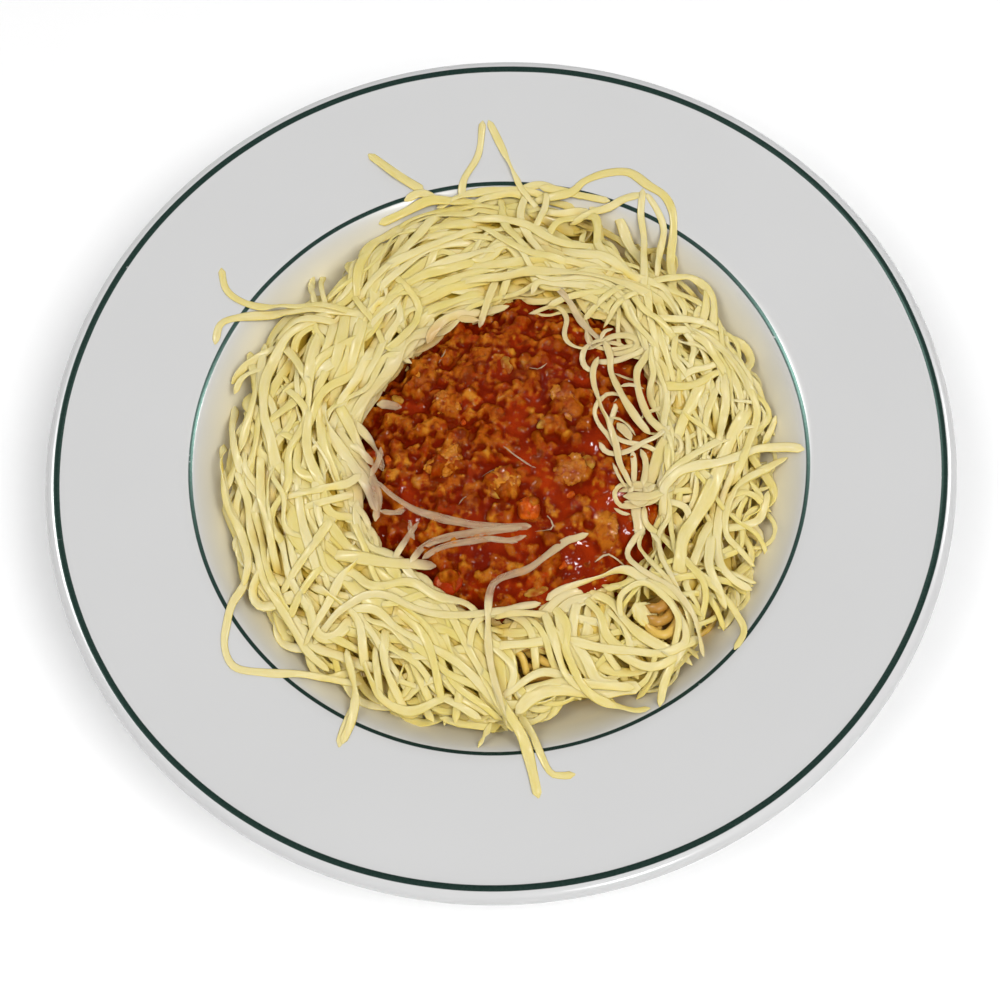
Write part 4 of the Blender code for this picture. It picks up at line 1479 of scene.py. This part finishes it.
    (3.6, 0, 0, -32, 90, -20, 93, -8, 94, 4, 93),
    (3.4, 0, 0, -24, 88, -12, 91, 2, 91, 14, 88),
    (3.4, 0, 0, -6, 95, 6, 97, 16, 96, 26, 94),
    (3.2, 0, 0, 8, 92, 18, 92, 28, 90, 36, 87),
    (3.0, 0, 0, 26, 96, 34, 93, 42, 90, 50, 87),
    (3.0, 0, 0, -2, 96, 0, 103, 6, 112, 9, 125),
    (3.0, 0, 0, 24, 88, 20, 95, 18, 102, 15, 112, 11, 125),
    (3.2, 0, 0, 17, 95, 25, 97, 33, 94, 42, 90),
    (3.2, 0, 0, 2, 92, 10, 95, 18, 94),
    (3.2, 0, 0, 22, 95, 18, 85, 20, 75, 24, 66, 26, 62),
    (3.0, 0, 0, 28, 92, 26, 84, 22, 78),
    (3.4, 0, 0, 12, 90, 12, 82, 16, 74, 20, 68),
    (3.4, 0, 0, 6, 80, 12, 74, 20, 68, 30, 64),
    (3.6, 0, 0, 0, 86, 10, 84, 20, 80, 28, 73, 40, 68, 48, 62, 52, 55),
    (3.2, 0, 0, 28, 76, 32, 80, 38, 82, 44, 78, 43, 70),
    (3.2, 0, 0, 44, 84, 44, 75, 43, 68, 48, 60),
    (3.2, 0, 0, 40, 82, 48, 84, 55, 87, 62, 88),
    (4.0, 0, 0, 53, 78, 55, 68, 58, 60),
    (3.0, 0, 0, 62, 90, 60, 80, 60, 70, 58, 60, 56, 50),
    (3.0, 0, 0, 63, 88, 66, 80, 67, 72, 64, 62, 62, 55),
    (3.5, 0, 0, 28, 92, 36, 92, 42, 96, 50, 98, 58, 97, 64, 91, 69, 86, 71, 79, 70, 70, 68, 60, 67, 52),
    (3.6, 0.1, 0, -4, 66, 10, 66, 22, 65, 34, 63, 44, 58),
    (3.6, 0.2, 0, -5, 61, 8, 61, 20, 61, 32, 59, 42, 56, 50, 52, 58, 47),
    (3.0, 0.1, 0.1, 18, 53, 21, 57, 28, 55, 38, 53, 46, 52, 52, 47),
    (3.0, 0.3, 0.2, -1, 42, 2, 50, 5, 57),
    (3.2, 0.4, 0.1, 0, 48, 5, 49, 10, 50),
    (3.2, 0.2, 0, 36, 50, 40, 47, 44, 43),
    (3.0, 0.2, 0, 40, 51, 44, 47, 47, 42),
    (3.0, 0.2, 0, 44, 52, 48, 48, 51, 43),
    # right of the sauce
    (3.2, 0, 0, 78, 46, 76, 38, 72, 34, 66, 33),
    (3.4, 0, 0, 60, 52, 68, 51, 74, 50, 79, 46, 80, 40, 78, 33),
    (2.6, 0, 0, 60, 45, 61, 40, 64, 37, 68, 37, 69, 41, 67, 46),
    (3.0, 0, 0, 59, 38, 65, 37, 71, 36, 77, 34),
    (3.2, 0, 0, 62, 33, 67, 33, 72, 31, 77, 28, 81, 22, 85, 14, 88, 4),
    (3.0, 0, 0, 70, 31, 74, 27, 77, 21, 80, 14),
    (3.0, 0, 0, 71, 30, 73, 24, 74, 17, 72, 10),
    (2.4, 0, 0, 65, 32, 63.5, 27, 63, 23, 65, 19, 67, 15),
    (2.4, 0, 0, 68, 32, 70, 27, 69, 22, 67, 17),
    (3.0, 0, 0, 59, 33, 60, 27, 61, 21, 62, 14),
    (3.0, 0, 0, 63, 15, 68, 17, 74, 18, 79, 20),
    (3.2, 0, 0, 58, 13, 64, 12, 71, 13, 77, 16),
    (4.2, 0, 0, 71, 13, 67, 6, 63, 0, 60, -6),
    (3.8, 0, 0, 78, 14, 78, 6, 76, -2, 73, -10),
    (3.0, 0, 0, 77, 13, 74, 7, 71, 1, 69, -6),
    (3.4, 0, 0, 86, 10, 88, 0, 84, -10, 78, -20),
    (3.0, 0, 0, 81, 16, 83, 6, 81, -4, 78, -12),
    (2.6, 0, 0, 59, 12, 58, 6, 56, 0, 55, -6),
    (2.2, 0, 0, 62, 3, 67, -2, 72, -7),
    (2.4, 0.1, 0, 56, 29, 55, 23, 55, 17, 53, 11, 54, 4),
    (3.4, 0, 0, 57, 55, 57, 46, 57, 38, 57.5, 31, 57, 24, 55, 17),
    (3.0, 0, 0, 52, 48, 55, 42, 60, 37, 64, 30),
    (2.4, 0.1, 0, 45, 51, 50, 49, 53.5, 45, 53.5, 40, 52, 36, 55, 31),
    (2.2, 0.1, 0, 42, 53, 46, 49, 48.5, 44.5, 49.5, 40, 52, 36, 55.5, 31, 58, 26),
    (2.8, 0.1, 0, 48, 53, 41, 50, 36, 47.5),
    (2.8, 0.1, 0, 50, 52, 43, 48.5, 38.5, 45),
    (2.6, 0.1, 0, 52, 50, 45.5, 47, 41.5, 43),
    (2.6, 0.1, 0, 54, 49, 48, 46, 44.5, 42.5),
    (1.6, 0.6, 0, 42, 19.5, 46, 17.5, 50.5, 16),
    (1.6, 0.6, 0, 43, 13, 47, 13.2, 51, 12),
    (1.6, 0.5, 0, 35.5, 10, 38.5, 12.2, 42, 11.5, 44, 9),
    (1.4, 0.4, 0, 38, 3, 41, 2.5, 44, 0, 46, -3.5),
    (4.2, 0.6, 0, 40.5, 1, 43, -3, 44, -6),
    (2.2, 0.5, 0, 41, 33, 37, 31.8, 33.5, 29.5, 32, 26, 32.7, 22.5, 35, 20),
    (2.4, 0.4, 0, 39, 31, 43.5, 33.2, 48, 33, 51.3, 30.8, 50, 27.8, 45.5, 27, 41, 27.5),
    (2.2, 0.4, 0, 44, 36, 41, 35, 39, 32),
    (2.6, 0.3, 0, 36.5, 24.5, 41, 24, 47, 25.2, 52, 26.5, 57, 29),
    (3.0, 0.3, 0, 55.5, 27, 52.5, 22.5, 50, 19, 49, 14, 49.5, 8, 51, 3, 53.5, -2, 57, -6),
    (2.0, 0.4, 0, 38, 12, 35, 9.5, 33.5, 6, 34.5, 1.5, 37, -3, 39, -8),
    (2.2, 0.4, 0, 33.7, -5, 35, -8, 38, -9.5, 43, -9.2, 48, -7.5, 53, -5.5, 58, -2),
    (3.0, 0.3, 0, 40.5, 32, 41.5, 26, 41, 21, 41.8, 16, 43, 11, 45, 6, 47.5, 1, 51, -4),
    (2.4, 0.4, 0, 37.5, 26, 35, 21, 34.6, 16.5, 35.2, 12, 36, 7, 37.3, 3, 38.3, -2, 39, -7, 39.3,
     -13, 40.8, -18, 42, -22),
    (2.6, 0.7, 0, 29, 50.5, 32, 44, 34.5, 39, 37, 35, 39.5, 31.5),
    (1.8, 0.7, 0, 34.8, 37, 34.6, 33, 35.5, 29),
    # threads and splinters on the sauce
    (0.6, 0.6, 0.3, -11, -18, -13, -19, -14.5, -21),
    (0.7, 0.6, 0.3, 2, -2, 5, -5, 9, -9, 12, -11),
    (0.6, 0.6, 0.3, -6, -12, -2, -10, 3, -9),
    (0.6, 0.6, 0.3, 13, -27, 15, -31, 14, -33, 9, -33),
    (0.7, 0.6, 0.3, 27, -46, 31, -44, 34, -46, 37, -49),
    (0.6, 0.6, 0.3, 14, 25, 17, 24, 20, 26),
    (0.6, 0.6, 0.3, -16, 31, -14, 34, -13, 36),
)
TOP_WIDTH = 0.86  # of the width in the table
SHEET_HEIGHT = 47 * MM
SIGHT_SLOPE = 0.4  # how far the line of sight runs away from the diner over how far it drops


def seen_from_front(places, height):
    """Moves places on the level sheet down the line of sight, to the height where they lie."""
    return places + np.c_[0 * height, SIGHT_SLOPE * (SHEET_HEIGHT - height)]


def lay_top_shreds(bed, rows, seed):
    """Lays listed shreds where they look to be. An end that lies on the ring runs 5 mm on and
    dips under what is there; any other end lies free."""
    draw = np.random.default_rng(seed)
    strands = Strands(bed, *SHRED_SECTION)
    for width, melt, stain, *places in rows:
        places = np.array(places).reshape(-1, 2) * MM
        ends = places[[0, -1]]
        held = (cheese_across(*ends.T) < 0.95) & (past_pool(*ends.T) > 2 * MM)
        ahead = ends - places[[1, -2]]
        ahead *= 5 * MM / np.hypot(*ahead.T)[:, None] * held[:, None]
        places = np.r_[(ends + ahead)[:1], places[1:-1], (ends + ahead)[1:]]
        route = smooth_route(places, 1.5 * MM)
        height = bed.at(*seen_from_front(route, bed.at(*route.T)).T) + 1.5 * MM
        blend = np.exp(-(((np.arange(len(route))[:, None] - np.arange(len(route))) / 4.0) ** 2))
        height = blend @ height / blend.sum(axis=1)
        width = TOP_WIDTH * width * MM
        thickness = np.minimum((SHRED_THICKNESS - 0.05 * melt) * width, 0.8 * MM)
        strands.lay(
            seen_from_front(route, height),
            width,
            thickness,
            SHRED_BEND,
            draw.uniform(1.5, 4) * MM,
            draw,
            dip=np.where(held, 3 * MM, 0.1 * MM),
            sink=np.where(held.any(), SHRED_SINK, 0.9),
            tone=draw.uniform(0.2, 1),
            melt=melt,
            soak=1.2 * stain,
        )
    return strands


# Each scattered layer states its batches, its seed, how far under the mean top it fills the
# ring, how far over that top it may climb, its tangle in radians, the width in mm, and the
# share of starts on the right. The two listed layers take every other row of the table.
layers = (
    ("cheese_shreds_lowest", scattered_shreds(bed, 12, 70, 6.0 * MM, 0.0 * MM, 0.6, 2.6, 0.9)),
    ("cheese_shreds_deep", scattered_shreds(bed, 26, 71, 3.2 * MM, 3.0 * MM, 0.6, 2.35, 0.8)),
    ("cheese_shreds_middle", scattered_shreds(bed, 20, 72, 0.9 * MM, 3.2 * MM, 0.42, 2.6, 0.25)),
    ("cheese_shreds_curled", curled_shreds(bed)),
    ("cheese_shreds_lower", lay_top_shreds(bed, TOP_SHREDS[::2], 47)),
    ("cheese_shreds_upper", scattered_shreds(bed, 3, 73, -1.0 * MM, 4.0 * MM, 0.42, 2.0, 0.3)),
    ("cheese_shreds_top", lay_top_shreds(bed, TOP_SHREDS[1::2], 48)),
)
surface = blurred(bed.height, 7)


def buried_painted_shade(points):
    """How deep a point lies under the ring's smoothed surface, which sets how much painted shade, a
    deeper gold,
    it gets: 0 at 0.4 mm and 1 at 3.6 mm, and always 0 at the ring's outer edge."""
    x, y = points[:, 0], points[:, 1]
    depth = np.clip((surface[bed.cell(x, y)] - 0.4 * MM - points[:, 2]) / (3.2 * MM), 0, 1)
    return depth * np.clip((0.95 - cheese_across(x, y)) / 0.2, 0, 1)


def softened(points):
    """How far the sauce's heat has melted a shred: most over the sauce, none 8 mm outside it,
    and less on the right, where the curls are thin and were laid last."""
    near = np.clip(0.55 - past_pool(points[:, 0], points[:, 1]) / (14 * MM), 0, 0.9) ** 1.2
    return near * (1 - 0.4 * np.clip(points[:, 0] / (30 * MM), 0, 1))


# The small curd that lies in the large gap at the near right.
curd_at = (40.2 * MM, -64.2 * MM)
curd_place = (*curd_at, bed.at(*curd_at) + 0.2 * MM)
curd_lump = (curd_place, (3.9, 4.5, 3.2), 25, 22, 16, 0.1, 0.4)
curd = gathered("cheese_curd", [curd_lump], cheese_look)
pieces = [cheese_core, curd]
for name, strands in layers:
    soak = np.concatenate([kept["soak"] for kept in strands.marks])
    melt = np.concatenate([kept["melt"] for kept in strands.marks])
    rules = {
        "depth": buried_painted_shade,
        "stain": lambda points, soak=soak: np.clip(soak * near_sauce(points) ** 1.5, 0, 1),
        "melt": lambda points, melt=melt: np.maximum(melt, softened(points)),
    }
    pieces.append(strands.finished(name, cheese_look, rules))
for piece in pieces:
    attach(piece, "root")
    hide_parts("shredded_cheese")

# ---------------------------------------------------------------------------------------
# The table, the soft light over it, and the view: from the near side, looking steeply down.
# ---------------------------------------------------------------------------------------

TABLE_SIZE = 6.0
SKY_STRENGTH = 0.40
# The name of each lamp, its place and side in m, and its power in W. The wide ones light the
# dish, and the small ones only show as glints in what is wet.
WIDE_LAMP = 0.5
LAMPS = (
    ("soft_lamp_right", (0.50, -0.50, 1.30), 0.60, 12.2),
    ("soft_lamp_left", (-0.62, -0.32, 1.35), 0.60, 7.2),
    ("small_lamp_far", (-0.75, 0.45, 1.15), 0.20, 15),
    ("small_lamp_near", (0.30, -1.10, 1.15), 0.20, 15),
    ("small_lamp_right", (0.95, 0.35, 1.10), 0.20, 15),
)


def table_top():
    """A plain white sheet under the dish."""
    half = TABLE_SIZE / 2
    corners = np.array([(-half, -half, 0), (half, -half, 0), (half, half, 0), (-half, half, 0)])
    finish = Finish("table_white", {"Roughness": 0.9})
    grain = finish.noise(finish.place(), 30, 3)
    white = finish.mix(grain, (0.96, 0.96, 0.96), (0.98, 0.98, 0.98))
    return solid("table", corners, [(0, 1, 2, 3)], finish.vary(Base_Color=white))


table_top()

world = bpy.data.worlds.new("soft_room")
world.use_nodes = True
world.node_tree.nodes["Background"].inputs["Color"].default_value = (1.0, 1.0, 1.0, 1)
world.node_tree.nodes["Background"].inputs["Strength"].default_value = SKY_STRENGTH
bpy.context.scene.world = world

for name, place, side, power in LAMPS:
    lamp_data = bpy.data.lights.new(name, "AREA")
    lamp_data.shape = "SQUARE"
    lamp_data.size = side
    lamp_data.energy = power
    lamp = bpy.data.objects.new(name, lamp_data)
    lamp.location = place
    lamp.visible_glossy = side < WIDE_LAMP
    lamp.visible_diffuse = side > WIDE_LAMP
    lamp.rotation_euler = Vector(place).to_track_quat("Z", "Y").to_euler()
    bpy.context.scene.collection.objects.link(lamp)

VIEW_TARGET = np.array([-1.0, -21.3, 47.0]) * MM
VIEW_ELEVATION = np.radians(68.34)
VIEW_DISTANCE = 551.3 * MM
VIEW_ROLL = np.radians(-6.81)
VIEW_LENS = 61.2

backward = np.array([0, -np.cos(VIEW_ELEVATION), np.sin(VIEW_ELEVATION)])
upward = np.array([0, np.sin(VIEW_ELEVATION), np.cos(VIEW_ELEVATION)])
rightward = np.array([1.0, 0, 0])
right = np.cos(VIEW_ROLL) * rightward + np.sin(VIEW_ROLL) * upward
up = -np.sin(VIEW_ROLL) * rightward + np.cos(VIEW_ROLL) * upward
turn = np.eye(4)
turn[:3, 0], turn[:3, 1], turn[:3, 2] = right, up, backward
turn[:3, 3] = VIEW_TARGET + backward * VIEW_DISTANCE
camera_data = bpy.data.cameras.new("camera")
camera_data.lens = VIEW_LENS
camera = bpy.data.objects.new("camera", camera_data)
camera.matrix_world = Matrix(turn.tolist())
bpy.context.scene.collection.objects.link(camera)
bpy.context.scene.camera = camera
bpy.context.scene.view_settings.view_transform = "Standard"
